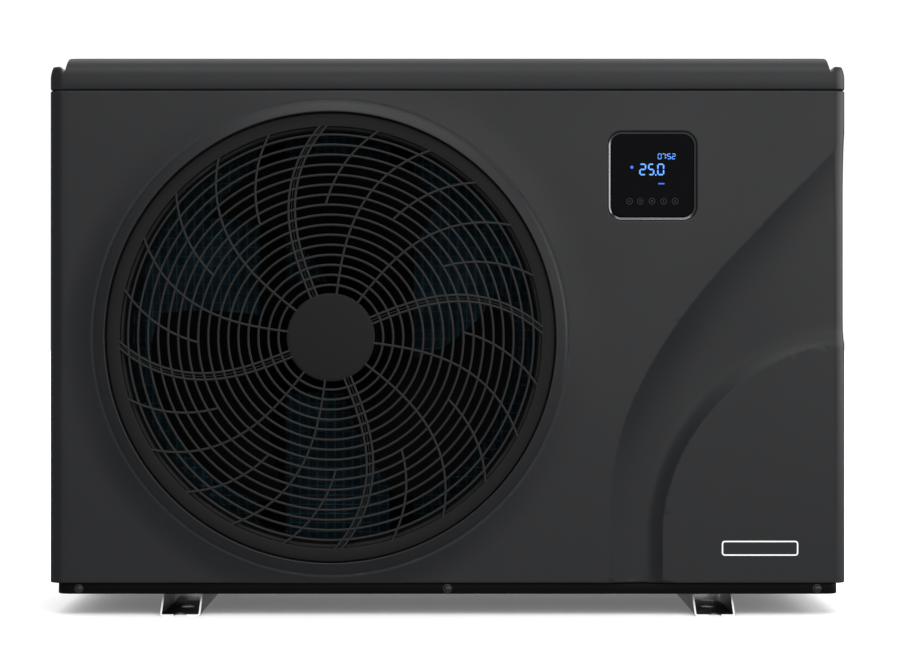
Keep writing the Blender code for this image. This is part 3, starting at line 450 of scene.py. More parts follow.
def plate(put, outline, holes=(), thick=3.0, fillet=0.8, lines=(), points=(), guard=1.0):
    """Closed plate with rounded front edges. put(u, v, depth) gives the place in space."""
    loops = [(list(outline), 1.0)] + [(list(h), -1.0) for h in holes]
    inner = [shifted(loop, sign * fillet) for loop, sign in loops]
    support = [shifted(loop, sign * (fillet + guard)) for loop, sign in loops]
    support = [loop + loop[:1] for loop in support]
    flat, tris, where = triangulate(inner[0], inner[1:], list(lines) + support, points)
    n = len(flat)
    verts = [put(u, v, depth) for depth in (0.0, thick) for u, v in flat]
    faces = tris + [tuple(n + i for i in reversed(t)) for t in tris]
    start, steps = 0, 4
    for loop, sign in loops:
        count = len(loop)
        previous = ring = [where[start + k] for k in range(count)]
        start += count
        for k in range(1, steps + 2):
            a = math.pi / 2 * min(k, steps) / steps
            moved = shifted(loop, sign * fillet * (1 - math.sin(a))) if k <= steps else loop
            depth = fillet * (1 - math.cos(a)) if k <= steps else thick
            base = len(verts)
            verts += [put(u, v, depth) for u, v in moved]
            current = list(range(base, base + count))
            strip(faces, previous, current)
            previous = current
        strip(faces, previous, [n + i for i in ring])
    return verts, faces


def flat_plate(axis, face, outward, outline, holes=(), thick=3.0, fillet=0.8, **more):
    """Plate square to an axis; its front lies at face and looks along outward (+1 or -1)."""
    def put(u, v, depth):
        return place(axis, u, v, face - outward * depth)
    return plate(put, outline, holes, thick, fillet, **more)


def soften(profile, r):
    """Rounds the corners of a closed profile."""
    out = []
    steps, count = 3, len(profile)
    for k in range(count):
        a, b, c = (np.array(profile[(k + d) % count], float) for d in (-1, 0, 1))
        la, lc = np.linalg.norm(a - b), np.linalg.norm(c - b)
        if b[0] < 1e-6 or min(la, lc) < 1e-6 or abs(np.cross((a - b) / la, (c - b) / lc)) < 0.2:
            out.append(tuple(b))
            continue
        reach = min(r, la * 0.45, lc * 0.45)
        p, q = b + (a - b) / la * reach, b + (c - b) / lc * reach
        for i in range(steps + 1):
            t = i / steps
            out.append(tuple(p * (1 - t) ** 2 + b * 2 * t * (1 - t) + q * t * t))
    return out


def lathe(axis, cu, cv, profile, n=72, r=0.6):
    """Turned body from a closed (radius, along) profile with softened corners."""
    verts, rings = [], []
    for radius, a in soften(profile, r):
        if radius < 1e-6:
            rings.append([len(verts)])
            verts.append(place(axis, cu, cv, a))
            continue
        rings.append(list(range(len(verts), len(verts) + n)))
        verts += [place(axis, u, v, a) for u, v in circle(cu, cv, radius, n)]
    faces = []
    for one, two in zip(rings, rings[1:] + rings[:1]):
        if len(one) == 1 and len(two) == 1:
            continue
        for k in range(n):
            m = (k + 1) % n
            if len(one) == 1:
                faces.append((one[0], two[k], two[m]))
            elif len(two) == 1:
                faces.append((one[k], two[0], one[m]))
            else:
                faces.append((one[k], two[k], two[m], one[m]))
    return verts, faces


def rings_body(rings, wrap=False):
    """Skin over rings of equal count, capped at both ends unless they wrap."""
    count, n = len(rings), len(rings[0])
    verts = [p for ring in rings for p in ring]
    faces = []
    for i in range(count if wrap else count - 1):
        j = (i + 1) % count
        strip(faces, range(i * n, i * n + n), range(j * n, j * n + n))
    if not wrap:
        faces += [tuple(range(n - 1, -1, -1)), tuple(range((count - 1) * n, count * n))]
    return verts, faces


def prism(loop, y0, y1):
    """Loop in x and z, drawn out between two places along y."""
    return rings_body([flat_ring(loop, y0), flat_ring(loop, y1)])


def sweep(path, section, up=(0.0, 0.0, 1.0), closed=False):
    """Section (across, up) carried along a path; up stays as near as it can to a fixed direction."""
    pts = [Vector(p) for p in path]
    last = len(pts) - 1
    rings = []
    for i, p in enumerate(pts):
        if closed:
            ahead = (pts[(i + 1) % len(pts)] - pts[i - 1]).normalized()
        else:
            ahead = (pts[min(i + 1, last)] - pts[max(i - 1, 0)]).normalized()
        side = ahead.cross(Vector(up)).normalized()
        top = side.cross(ahead)
        rings.append([tuple(p + side * a + top * b) for a, b in section])
    return rings_body(rings, wrap=closed)


def tube(path, r, n=16):
    """Round bar along a path with a carried frame."""
    pts = [Vector(p) for p in path]
    rings, side = [], None
    for i, p in enumerate(pts):
        ahead = (pts[min(i + 1, len(pts) - 1)] - pts[max(i - 1, 0)]).normalized()
        side = ahead.orthogonal().normalized() if side is None else (side - ahead * side.dot(ahead)).normalized()
        other = ahead.cross(side)
        rings.append([tuple(p + side * (r * c) + other * (r * s)) for c, s in circle(0, 0, 1, n)])
    return rings_body(rings)






def bar_section(width, height, r):
    """Rounded bar section centred on the path."""
    return rounded(-width / 2, width / 2, -height / 2, height / 2, r, 3)


def ease(t):
    t = min(max(t, 0.0), 1.0)
    return t * t * (3 - 2 * t)


# ---- casing skins ----------------------------------------------------------------------

def line_seg(p, q):
    return {"kind": "line", "ends": (p, q), "length": math.dist(p, q)}


def arc_seg(centre, r, start):
    return {"kind": "arc", "centre": centre, "r": r, "start": start, "length": r * math.pi / 2}


def follow(segments, s):
    for index, seg in enumerate(segments):
        length = seg["length"]
        if s <= length or index == len(segments) - 1:
            if seg["kind"] == "line":
                (x0, y0), (x1, y1) = seg["ends"]
                t = s / length
                return x0 + (x1 - x0) * t, y0 + (y1 - y0) * t, (y1 - y0) / length, -(x1 - x0) / length
            angle = seg["start"] + s / seg["r"]
            nx, ny = math.cos(angle), math.sin(angle)
            return seg["centre"][0] + seg["r"] * nx, seg["centre"][1] + seg["r"] * ny, nx, ny
        s -= length
    return None


def stations(segments):
    """Arc lengths where the wall turns."""
    out, start = [], 0.0
    for seg in segments:
        if seg["kind"] == "arc":
            out += [start + seg["length"] * k / 12 for k in range(13)]
        start += seg["length"]
    return out, start


def skin(segments, holes, fillet, depth=None, points=(), lines=(), mirror=1.0):
    """Moulded wall that follows segments in plan and stands between the shell's two edges."""
    turns, total = stations(segments)
    across = sorted({round(s, 4) for s in [0.0, total, *turns, *np.arange(20, total, 20.0)]})
    rise = np.arange(SHELL_Z0 + 14, SHELL_Z1 - 4, 14.0)
    outline = [(s, SHELL_Z0) for s in across] + [(total, z) for z in rise]
    outline += [(s, SHELL_Z1) for s in reversed(across)] + [(0.0, z) for z in rise[::-1]]
    rows = np.arange(SHELL_Z0 + 7, SHELL_Z1 - 3, 7.0)
    fill = [(s, z) for s in turns for z in rows]
    near = [(s + d, z) for s in (turns[0], turns[-1]) for d in (-3.0, 3.0) for z in rows]

    def put(s, z, d):
        x, y, nx, ny = follow(segments, s)
        inset = d + (depth(s, z) if depth else 0.0)
        return (mirror * (x - nx * inset), y - ny * inset, z)
    return plate(put, outline, holes, SKIN, fillet, lines=lines, points=list(points) + fill + near)


def catmull(points, n):
    pts = [np.array(p, float) for p in points]
    pts = [2 * pts[0] - pts[1], *pts, 2 * pts[-1] - pts[-2]]
    out = []
    for i in range(1, len(pts) - 2):
        p0, p1, p2, p3 = pts[i - 1:i + 3]
        for k in range(n):
            t = k / n
            out.append(0.5 * (2 * p1 + (p2 - p0) * t + (2 * p0 - 5 * p1 + 4 * p2 - p3) * t ** 2
                              + (3 * p1 - p0 - 3 * p2 + p3) * t ** 3))
    out.append(pts[-2])
    return np.array(out)


def low_curve(n):
    """Lower edge of the recess: a superellipse quadrant with straight run-outs."""
    w = WAVE_LOW
    pts = [(w["cx"] - w["a"], 30.0)]
    for k in range(n + 1):
        t = math.pi / 2 * k / n
        c, s = math.cos(t) ** (2 / w["n"]), math.sin(t) ** (2 / w["n"])
        pts.append((w["cx"] - w["a"] * c, w["cz"] + w["b"] * s))
    pts.append((w["cx"] + 70.0, w["cz"] + w["b"]))
    return pts


def side_of(curve, point):
    a, b = curve[:-1], curve[1:]
    d = b - a
    t = np.clip(((point - a) * d).sum(1) / (d * d).sum(1), 0, 1)
    gap = np.linalg.norm(point - a - d * t[:, None], axis=1)
    k = int(gap.argmin())
    cross = d[k][0] * (point[1] - a[k][1]) - d[k][1] * (point[0] - a[k][0])
    return math.copysign(gap[k], -cross)


def scoop(gap, reach, power):
    """Steepest at the crease, then easing to the floor over the reach."""
    return 1 - (1 - min(max(gap / reach, 0.0), 1.0)) ** power


def smooth_min(a, b, k):
    h = max(k - abs(a - b), 0.0) / k
    return min(a, b) - h * h * k / 4


def front_panel():
    flat_w = HALF_W - CORNER_R
    side = RETURN - CORNER_R
    yc = FRONT + CORNER_R
    segments = [
        line_seg((-HALF_W, yc + side), (-HALF_W, yc)),
        arc_seg((-flat_w, yc), CORNER_R, math.pi),
        line_seg((-flat_w, FRONT), (flat_w, FRONT)),
        arc_seg((flat_w, yc), CORNER_R, 1.5 * math.pi),
        line_seg((HALF_W, yc), (HALF_W, yc + side)),
    ]
    shift = sum(seg["length"] for seg in segments) / 2
    top_edge = catmull(WAVE_TOP, 40)
    low_edge = np.array(low_curve(120))

    def gaps(x, z):
        here = np.array((x, z))
        return side_of(top_edge, here), -side_of(low_edge, here)

    def collar(rho, left):
        """Height of the raised ring with its wide skirt and the line at its foot."""
        skirt = (3.4 + 1.2 * left) * max(1 - max(rho - RING_R, 0.0) / HALO, 0.0) ** 1.9
        cone = 5.0 * min(max((RING_R - rho) / (RING_R - PORT_R), 0.0), 1.0) ** 0.85
        line = 1.0 * max(1 - abs(rho - RING_R - 0.6) / 1.6, 0.0)
        return skirt + cone - line

    def depth(s, z):
        x = s - shift
        rho = math.hypot(x - FAN_X, z - FAN_Z)
        if x < 150 or rho < RING_R + HALO:
            return -collar(rho, max(FAN_X - x, 0.0) / rho)
        outer, inner = gaps(x, z)
        if outer <= 0 or inner <= 0:
            return 0.0
        along = min(max((x - 300) / 180, 0.0), 1.0)
        fall = WAVE_DEPTH * (1 - 0.58 * along) * scoop(outer, 65, 2.4)
        climb = WAVE_DEPTH * (1 - 0.64 * along) * scoop(inner, 27, 2.3) + 0.03 * inner
        return max(smooth_min(fall, climb, 1.2), 0.0) * (1 - ease((x - 462) / 44))

    fine = []
    for x in np.arange(186, 528, 4.0):
        for z in np.arange(SHELL_Z0 + 2.5, SHELL_Z1 - 2, 4.0):
            outer, inner = gaps(x, z)
            if outer > -3 and inner > -3:
                near = min(outer, inner)
                if near < 34 or (round(x / 4) % 2 == 0 and round(z / 4) % 2 == 0):
                    fine.append((x + shift, z))
    coarse = [(x + shift, z) for x in np.arange(-450, 450, 18.0) for z in np.arange(50, 620, 18.0)]

    def inside_line(pts):
        return [(float(x) + shift, float(z)) for x, z in pts
                if SHELL_Z0 + 2.2 < z < SHELL_Z1 - 2.2 and x + shift < 2 * shift - 2.2]

    lines = [inside_line(subdivide([tuple(p) for p in catmull(WAVE_TOP, 12)], 5.0, False)),
             inside_line(subdivide(low_curve(40), 5.0, False))]
    n = 180
    for out in (PORT_R + 5 - RING_R, -4, -2.7, -1.3, 0, 1.0, 2.8, 5, 8, 12, 17, 23, 30, HALO):
        ring = [p for p in circle(FAN_X + shift, FAN_Z, RING_R + out, n) if p[0] > 3.0]
        lines.append(ring + ring[:1] if len(ring) == n else ring)
    dx = DISP_X + shift
    holes = [circle(FAN_X + shift, FAN_Z, PORT_R, n),
             rounded(dx - DISP_HALF, dx + DISP_HALF, DISP_Z - DISP_HALF, DISP_Z + DISP_HALF, DISP_R, 10)]
    body = skin(segments, holes, 1.5, depth, fine + coarse, lines)
    piece("front_panel_skin", body, "charcoal", stands_for=["front_panel"])


def side_panel(sign):
    y0 = FRONT + RETURN + 0.8
    yc = BACK - CORNER_R
    rear = HALF_W - CORNER_R
    segments = [line_seg((HALF_W, y0), (HALF_W, yc)), arc_seg((rear, yc), CORNER_R, 0.0),
                line_seg((rear, BACK), (HALF_W - REAR_RETURN, BACK))]
    holes = [rounded(HAND_Y[0] - y0, HAND_Y[1] - y0, *HAND_Z, 12, 8)]
    name = "left" if sign < 0 else "right"
    if sign < 0:
        for k in range(10):
            z = 100 + 38 * k
            holes.append(rounded(30, yc - y0 - 14, z, z + 18, 8.9, 8))
    body = skin(segments, holes, 1.2, mirror=sign)
    piece(f"{name}_panel_skin", body, "charcoal", stands_for=[f"{name}_panel"])
    front = [(0.9, -5.0), (1.8, -4.2), (1.8, 0.4), (1.2, 1.6), (0.0, 2.0), (-24.0, 3.0), (-27.0, 4.2), (-28.0, 7.0)]
    behind = [(-30.0, 7.0), (-30.0, 1.2), (0.4, 0.6), (0.4, -5.0)]
    loops = []
    for dx, inset in front + behind:
        loop = rounded(HAND_Y[0] + inset, HAND_Y[1] - inset, HAND_Z[0] + inset, HAND_Z[1] - inset,
                       12 if inset < 5 else 9, 8)
        loops.append([(sign * (HALF_W + dx), y, z) for y, z in loop])
    n = len(loops[0])
    verts = [p for loop in loops for p in loop]
    faces, floor = [], (len(front) - 1) * n
    for i in range(len(loops)):
        if i * n != floor:
            j = (i + 1) % len(loops)
            strip(faces, range(i * n, i * n + n), range(j * n, j * n + n))
    faces += [tuple(range(floor, floor + n)), tuple(range(floor + n, floor + 2 * n))]
    piece(f"grip_{name}_cup", (verts, faces), "black", stands_for=[f"grip_{name}"])


def louvres():
    """Slanted vanes behind the slots of the left panel."""
    y0, y1 = FRONT + RETURN + 26, BACK - CORNER_R - 10
    bodies = []
    for k in range(10):
        z = 100 + 38 * k + 9
        section = [(-HALF_W + 3.3, z - 3.0), (-HALF_W + 4.9, z - 2.4), (-HALF_W + 12.4, z + 11.6),
                   (-HALF_W + 11.2, z + 12.4), (-HALF_W + 3.3, z - 1.0)]
        bodies.append(rings_body([[(x, y, w) for x, w in section] for y in (y0, y1)]))
    piece("left_louvre_vanes", join(*bodies), "black")


LID_EDGE = [(0.0, 643.0), (0.5, 647.0), (1.5, 651.0), (3.0, 655.0), (4.8, 658.4), (7.0, 661.3), (10.0, 663.8),
            (14.0, 665.6), (19.0, 666.6), (26.0, 667.0)]
LID_END = [(0.0, 655.6), (12.5, 655.6), (14.0, 655.0), (15.4, 652.6), (16.6, 650.0), (17.8, 648.9), (18.8, 650.2),
           (20.2, 656.0), (21.6, 662.0), (22.8, 665.6), (24.4, 667.0)]
LID_STEP = 14.0


def lid_height(x, y):
    """Rounded outer edge met by the gutter and lip that run along each end."""
    mid, half_d = (FRONT + BACK) / 2, (BACK - FRONT) / 2
    qx, qy = abs(x) - (HALF_W - CORNER_R), abs(y - mid) - (half_d - CORNER_R)
    inset = CORNER_R - math.hypot(max(qx, 0.0), max(qy, 0.0)) - min(max(qx, qy), 0.0)
    edge = float(np.interp(inset, *zip(*LID_EDGE)))
    end = float(np.interp(HALF_W - abs(x), *zip(*LID_END)))
    return smooth_min(edge, end, 1.6) if end < LID_TOP else edge


def lid():
    def loop(inset, step=None):
        return rounded(-HALF_W + inset, HALF_W - inset, FRONT + inset, BACK - inset, max(CORNER_R - inset, 2.0),
                       12, step)

    insets = [inset for inset, _ in LID_EDGE[1:]] + [2.2, 3.8, 5.8, 8.4, 12.0]
    lines = [loop(inset, LID_STEP) + loop(inset, LID_STEP)[:1] for inset in insets]
    for inset in (12.5, 13.3, 14.0, 14.7, 15.4, 16.0, 16.6, 17.2, 17.8, 18.3, 18.8, 19.5, 20.2, 20.9, 21.6, 22.2,
                  22.8, 23.6, 24.4):
        for sign in (-1, 1):
            lines.append([(sign * (HALF_W - inset), y) for y in np.linspace(FRONT + 0.4, BACK - 0.4, 60)])
    outline = loop(0.0, LID_STEP)
    flat, tris, where = triangulate(outline, (), lines)
    verts = [(x, y, lid_height(x, y)) for x, y in flat]
    faces = list(tris)
    previous = [where[k] for k in range(len(outline))]
    for inset, z in ((0.0, 629.6), (0.3, 628.7), (1.0, 628.0), (2.0, LID_Z0), (3.2, LID_Z0), (3.2, 639.0),
                     (21.0, 645.0), (30.0, 662.5)):
        base = len(verts)
        verts += [(x, y, z) for x, y in matched(loop(inset))]
        current = list(range(base, len(verts)))
        strip(faces, previous, current)
        previous = current
    faces.append(tuple(previous))
    piece("top_cover_skin", (verts, faces), "lid", stands_for=["top_cover"], sharp=50.0)


def matched(ring):
    """Splits the straight sides of a rounded rectangle as the lid's outline is split."""
    per, out = 13, []
    for k in range(4):
        out += ring[k * per:(k + 1) * per]
        a, b = ring[(k + 1) * per - 1], ring[((k + 1) * per) % len(ring)]
        side = BACK - FRONT - 2 * CORNER_R if k % 2 else 2 * (HALF_W - CORNER_R)
        parts = max(1, int(side / LID_STEP))
        out += [tuple(p + (q - p) * i / parts for p, q in zip(a, b)) for i in range(1, parts)]
    return out




def pan():
    def ring(inset, z):
        loop = rounded(-PAN_HALF + inset, PAN_HALF - inset, FRONT + 7 + inset, BACK - 6 - inset,
                       max(14 - inset, 2), 8)
        return [(x, y, z) for x, y in loop]
    rings = [ring(1.5, PAN_Z0), ring(0.4, PAN_Z0 + 0.4), ring(0, PAN_Z0 + 1.5), ring(0, PAN_STEP - 1.5),
             ring(0.4, PAN_STEP - 0.4), ring(1.5, PAN_STEP), ring(8, PAN_STEP), ring(8, PAN_TOP),
             ring(10, PAN_TOP), ring(10, PAN_Z0 + 2)]
    piece("base_pan_tray", rings_body(rings), "pan", stands_for=["base_pan"])


def foot(sign):
    """Channel with sloping ends, slots in its floor, and a bright strip on its front edge that is a painted highlight.
    """
    name = "right" if sign > 0 else "left"
    w, t, r = FOOT_W / 2, 2.0, 3.0

    def wall(reach, low, n, ends):
        """Half of a U from its top edge down to the floor."""
        return [(ends * (reach - r + low * math.cos(a)), r - low * math.sin(a)) for a in np.linspace(0, math.pi / 2, n)]

    outer = [(-w, FOOT_H)] + wall(w, r, 6, -1) + wall(w, r, 6, 1)[::-1] + [(w, FOOT_H)]
    inner = [(w - t, FOOT_H)] + wall(w, r - t, 4, 1) + wall(w, r - t, 4, -1)[::-1] + [(-w + t, FOOT_H)]
    section = [(sign * FOOT_X + x, z) for x, z in outer + inner]

    def channel(*ends):
        return rings_body([[(x, y + slope * z / FOOT_H, z) for x, z in section] for y, slope in ends])

    slots = []
    for y in (-206.0, -105.0, 65.0, 152.0):
        loop = rounded(sign * FOOT_X - 7.5, sign * FOOT_X + 7.5, y - 16, y + 16, 7.4, 10)
        slots.append(rings_body([[(u, v, z) for u, v in loop] for z in (-3.0, 6.0)]))
    body = channel((FOOT_FRONT, FOOT_SLOPE), (148.0, -18.0))
    cut(piece(f"foot_{name}_channel", body, "zinc", stands_for=[f"foot_{name}"], bevel=0.3), slots)
    # painted highlight: a thin pale strip over the front edge stands in for light glinting on it
    edge = channel((FOOT_FRONT - 0.7, FOOT_SLOPE), (FOOT_FRONT + 0.1, FOOT_SLOPE))
    cut(piece(f"foot_{name}_painted_edge_highlight", edge, "painted_edge_highlight"), slots[:1])


def cut(obj, bodies):
    """Applies one exact difference with closed cutters, ahead of any other modifier."""
    cutter = link_mesh("slots", join(*bodies), 0.0)
    later = [m.width for m in obj.modifiers]
    obj.modifiers.clear()
    mod = obj.modifiers.new("cut", "BOOLEAN")
    mod.operation, mod.solver, mod.object = "DIFFERENCE", "EXACT", cutter
    bpy.context.view_layer.update()
    made = bpy.data.meshes.new_from_object(obj.evaluated_get(bpy.context.evaluated_depsgraph_get()))
    obj.modifiers.clear()
    obj.data = made
    bpy.data.objects.remove(cutter, do_unlink=True)
    for face in made.polygons:
        face.use_smooth = True
    made.set_sharp_from_angle(angle=math.radians(30))
    for width in later:
        round_edges(obj, width, 2)


# ---- grille, fan and coil --------------------------------------------------------------

def twist(r):
    return math.radians(19.6) * (max(r - 55.0, 0.0) / 194.0) ** 2.1


def fan_point(r, angle, y):
    return (FAN_X + r * math.sin(angle), y, FAN_Z + r * math.cos(angle))


def grille():
    depth = 4.4
    y_mid = GRILLE_Y + depth / 2
    n = 240
    bodies = []
    for k in range(RINGS):
        r = RING_R0 + RING_PITCH * k
        path = [fan_point(r, 2 * math.pi * i / n, y_mid) for i in range(n)]
        bodies.append(sweep(path, bar_section(BAR, depth, 1.1), up=(0, 1, 0), closed=True))
    piece("grille_rings", join(*bodies), "grille", stands_for=["fan_grille"])

    def spoke(base, r0, across=0.0, width=2.9, height=depth + 0.8, back=0.2):
        path = []
        for i in range(49):
            r = r0 + (RIM_IN + 1.5 - r0) * i / 48
            path.append(fan_point(r, base + twist(r) + across / r, y_mid + back))
        return sweep(path, bar_section(width, height, min(width, height) * 0.3), up=(0, 1, 0))

    bars = []
    for k in range(24):
        base = math.radians(-22.4 + 15 * k)
        if k % 6 == 0:
            bars += [spoke(base, HUB_R - 2, -4.0), spoke(base, HUB_R - 2, 4.0),
                     spoke(base, HUB_R - 2, 0.0, 1.1, 3.0, 0.9)]
        else:
            bars.append(spoke(base, RING_R0 + RING_PITCH * 8 if k % 2 else HUB_R - 2))
    piece("grille_spokes", join(*bars), "grille")

    hub = [(0, -0.3), (HUB_R - 5, -0.1), (HUB_R - 1.0, 0.3), (HUB_R, 1.4), (HUB_R, 6), (HUB_R - 2.5, 6),
           (HUB_R - 2.5, 3), (0, 3)]
    hub = [(r, GRILLE_Y + a) for r, a in hub]
    piece("grille_hub", lathe("Y", FAN_X, FAN_Z, hub, 144, 0.5), "rim")
    rim = [(RIM_IN, 1.2), (RIM_IN + 0.8, 0), (RIM_OUT - 0.8, -0.2), (RIM_OUT, 0.8), (RIM_OUT, 9.6),
           (RIM_OUT - 2.5, 9.6), (RIM_OUT - 2.5, 3), (RIM_IN + 2.5, 3), (RIM_IN + 2.5, 9.6), (RIM_IN, 9.6)]
    rim = [(r, GRILLE_Y + a) for r, a in rim]
    piece("grille_rim", lathe("Y", FAN_X, FAN_Z, rim, 240, 0.4), "rim")


def shroud():
    outline = subdivide([(-462.0, 62.0), (160.0, 62.0), (160.0, 622.0), (-462.0, 622.0)], 60)
    body = flat_plate("Y", -188.4, -1, outline, [circle(FAN_X, FAN_Z, 250.0, 120)], 1.6, 0.4)
    piece("shroud_plate", body, "black", stands_for=["fan_shroud"])
    throat = [(250.2, -188.4), (248.2, -187.6), (THROAT_R + 0.6, -184.0), (THROAT_R, -176.0), (THROAT_R, -114.0),
              (249.0, -105.0), (256.0, -98.0), (258.0, -99.5), (251.6, -106.5), (248.3, -115.0), (248.3, -184.0),
              (250.2, -186.8)]
    piece("shroud_throat", lathe("Y", FAN_X, FAN_Z, throat, 144, 0.6), "black")


def impeller():
    across, along = 26, 22

    def blade(k):
        """Swept blade: t runs from hub to tip, u from the leading to the trailing edge."""
        verts, faces = [], []
        for side in (-1, 1):
            for i in range(across + 1):
                t = i / across
                for j in range(along + 1):
                    u = j / along
                    r = 46 + (BLADE_R - 15 * abs(2 * u - 1) ** 3 - 46) * t
                    a = math.radians(-46 * t) + math.radians(50 + 34 * t) * u + 2 * math.pi * k / BLADES
                    y = -171 + (62 - 22 * t) * (1 - u) ** 1.15 + 6 * math.sin(math.pi * u)
                    half = 1.7 * min(1.0, 6 * u + 0.25, 6 * (1 - u) + 0.25, 9 * (1 - t) + 0.25)
                    verts.append(fan_point(r, a, y + 1.5 + side * half))
        w = along + 1
        n = (across + 1) * w
        for i in range(across):
            for j in range(along):
                a = i * w + j
                faces.append((a, a + 1, a + w + 1, a + w))
                faces.append((n + a, n + a + w, n + a + w + 1, n + a + 1))
        border = [(0, j) for j in range(along)] + [(i, along) for i in range(across)]
        border += [(across, j) for j in range(along, 0, -1)] + [(i, 0) for i in range(across, 0, -1)]
        ids = [i * w + j for i, j in border]
        strip(faces, ids, [n + i for i in ids])
        return verts, faces

    piece("fan_blades", join(*[blade(k) for k in range(BLADES)]), "blade", "rotor", ["fan_impeller"], sharp=50)
    hub = [(6.4, -166), (30, -168), (48, -163), (52, -152), (52, -100), (48, -100), (48, -150), (20, -153),
           (16, -112), (6.4, -112)]
    ribs = []
    for k in range(12):
        a = 2 * math.pi * k / 12
        path = [fan_point(16, a, -128), fan_point(49, a, -128)]
        ribs.append(sweep(path, bar_section(2.4, 38, 0.8), up=(0, 1, 0)))
    piece("fan_hub", join(lathe("Y", FAN_X, FAN_Z, hub, 96, 2.0), *ribs), "blade", "rotor")
    shaft = [(0, -176), (6, -176), (6, -60), (0, -60)]
    piece("fan_shaft_turned", lathe("Y", FAN_X, FAN_Z, shaft, 48, 0.8), "steel", "rotor", ["fan_shaft"])
    outline = subdivide(circle(FAN_X, FAN_Z, 11, 6), 4)
    nut = flat_plate("Y", -174, -1, outline, [circle(FAN_X, FAN_Z, 6.4, 32)], 5.0, 0.7, guard=0.4)
    piece("fan_nut_hex", nut, "steel", "rotor", ["fan_nut"])


def motor():
    body = [(6.1, -98), (16, -98), (18, -92), (52, -90), (56, -84), (56, -70), (54.6, -69), (54.6, -67), (56, -66),
            (56, -34), (54.6, -33), (54.6, -31), (56, -30), (56, -16), (50, -8), (0, -8), (0, -58), (6.1, -58)]
    fins = []
    for k in range(28):
        a = 2 * math.pi * k / 28
        path = [fan_point(57, a, -62), fan_point(57, a, -38)]
        fins.append(sweep(path, bar_section(1.6, 4, 0.5), up=(math.sin(a), 0, math.cos(a))))
    piece("fan_motor_case", join(lathe("Y", FAN_X, FAN_Z, body, 96, 1.2), *fins), "motor",
          stands_for=["fan_motor"])
    rail = [(66, -7.6), (97, -7.6), (97, 10), (95, 10), (95, -5.6), (68, -5.6), (68, 10), (66, 10)]
    bodies = [rings_body([[(FAN_X + sign * x, y, z) for x, y in rail] for z in (60, 622)]) for sign in (-1, 1)]
    corners = [(-65.8, -70), (65.8, -70), (65.8, 70), (-65.8, 70)]
    tie = subdivide([(FAN_X + x, FAN_Z + z) for x, z in corners], 20)
    bodies.append(flat_plate("Y", -7.6, -1, tie, [circle(FAN_X, FAN_Z, 20, 32)], 2.0, 0.5))
    piece("motor_bracket_rails", join(*bodies), "rail", stands_for=["motor_bracket"], bevel=0.4)


COIL_X, COIL_Y, COIL_BEND, COIL_THICK = -430.0, 132.0, 55.0, 26.0
COIL_Z = (58.5, 618.0)


def coil_station(s):
    """Centre line of the bent coil: place, direction across the coil."""
    leg = COIL_Y - COIL_BEND + 150.0
    arc = COIL_BEND * math.pi / 2
    if s < leg:
        return (COIL_X, -150.0 + s), (-1.0, 0.0)
    if s < leg + arc:
        a = math.pi - (s - leg) / COIL_BEND
        c = (COIL_X + COIL_BEND, COIL_Y - COIL_BEND)
        return (c[0] + COIL_BEND * math.cos(a), c[1] + COIL_BEND * math.sin(a)), (math.cos(a), math.sin(a))
    return (COIL_X + COIL_BEND + (s - leg - arc), COIL_Y), (0.0, 1.0)


def coil_path(places, across, z):
    """Line at one height along the coil, set off from the middle of its thickness."""
    path = []
    for s in places:
        (cx, cy), (nx, ny) = coil_station(s)
        path.append((cx + nx * across, cy + ny * across, z))
    return path


def coil():
    leg = COIL_Y - COIL_BEND + 150.0
    arc = COIL_BEND * math.pi / 2
    total = leg + arc + 148.0 - (COIL_X + COIL_BEND)
    pitch = 2.3
    fins, proud = [], []
    for k in range(int(total / pitch)):
        (cx, cy), (nx, ny) = coil_station(1.0 + k * pitch)
        tx, ty = ny, -nx
        reach = COIL_THICK + (1.6 if k % 5 == 0 else 0.0)
        line = []
        for j in range(9):
            across = reach * (j / 8 - 0.5)
            wave = 1.35 if j % 2 else -1.35
            line.append((cx + nx * across + tx * wave, cy + ny * across + ty * wave))
        loop = [(x + tx * 0.12, y + ty * 0.12) for x, y in line]
        loop += [(x - tx * 0.12, y - ty * 0.12) for x, y in reversed(line)]
        (proud if k % 5 == 0 else fins).append(rings_body([[(x, y, z) for x, y in loop] for z in COIL_Z]))
    piece("coil_fins", join(*fins), "fins", stands_for=["evaporator_coil"], sharp=20.0)
    piece("coil_fins_proud", join(*proud), "fin_edge", sharp=20.0)

    corner = list(np.linspace(leg + 4, leg + arc, 12))
    places = [1.0, *np.linspace(leg * 0.5, leg, 3), *corner, total]
    face = COIL_THICK / 2 + 0.6
    beads = [tube(coil_path(places, across, z), 0.45, 6)
             for z in np.arange(COIL_Z[0] + 6, COIL_Z[1] - 3, 12.0) for across in (-face, face)]
    piece("coil_collar_lines", join(*beads), "fin_edge")

    rows, tubes, starts = 22, [], []
    places = [-7.0, *np.linspace(2, leg, 6), *corner, total + 0.5]
    for row in range(rows):
        z = COIL_Z[0] + 13 + row * (COIL_Z[1] - COIL_Z[0] - 26) / (rows - 1)
        for across in (-6.5, 6.5):
            path = coil_path(places, across, z + across * 0.9)
            tubes.append(tube(path, 4.0, 10))
            starts.append(path[0])
    for low_end, high_end in zip(starts[1::2], starts[2::2]):
        mid = [(a + b) / 2 for a, b in zip(low_end, high_end)]
        path = []
        for i in range(9):
            c, s = math.cos(math.pi * i / 8), math.sin(math.pi * i / 8)
            path.append((mid[0] + (low_end[0] - mid[0]) * c, mid[1] - 11.7 * s, mid[2] + (low_end[2] - mid[2]) * c))
        tubes.append(tube(path, 4.0, 10))
    piece("coil_tubes", join(*tubes), "copper")


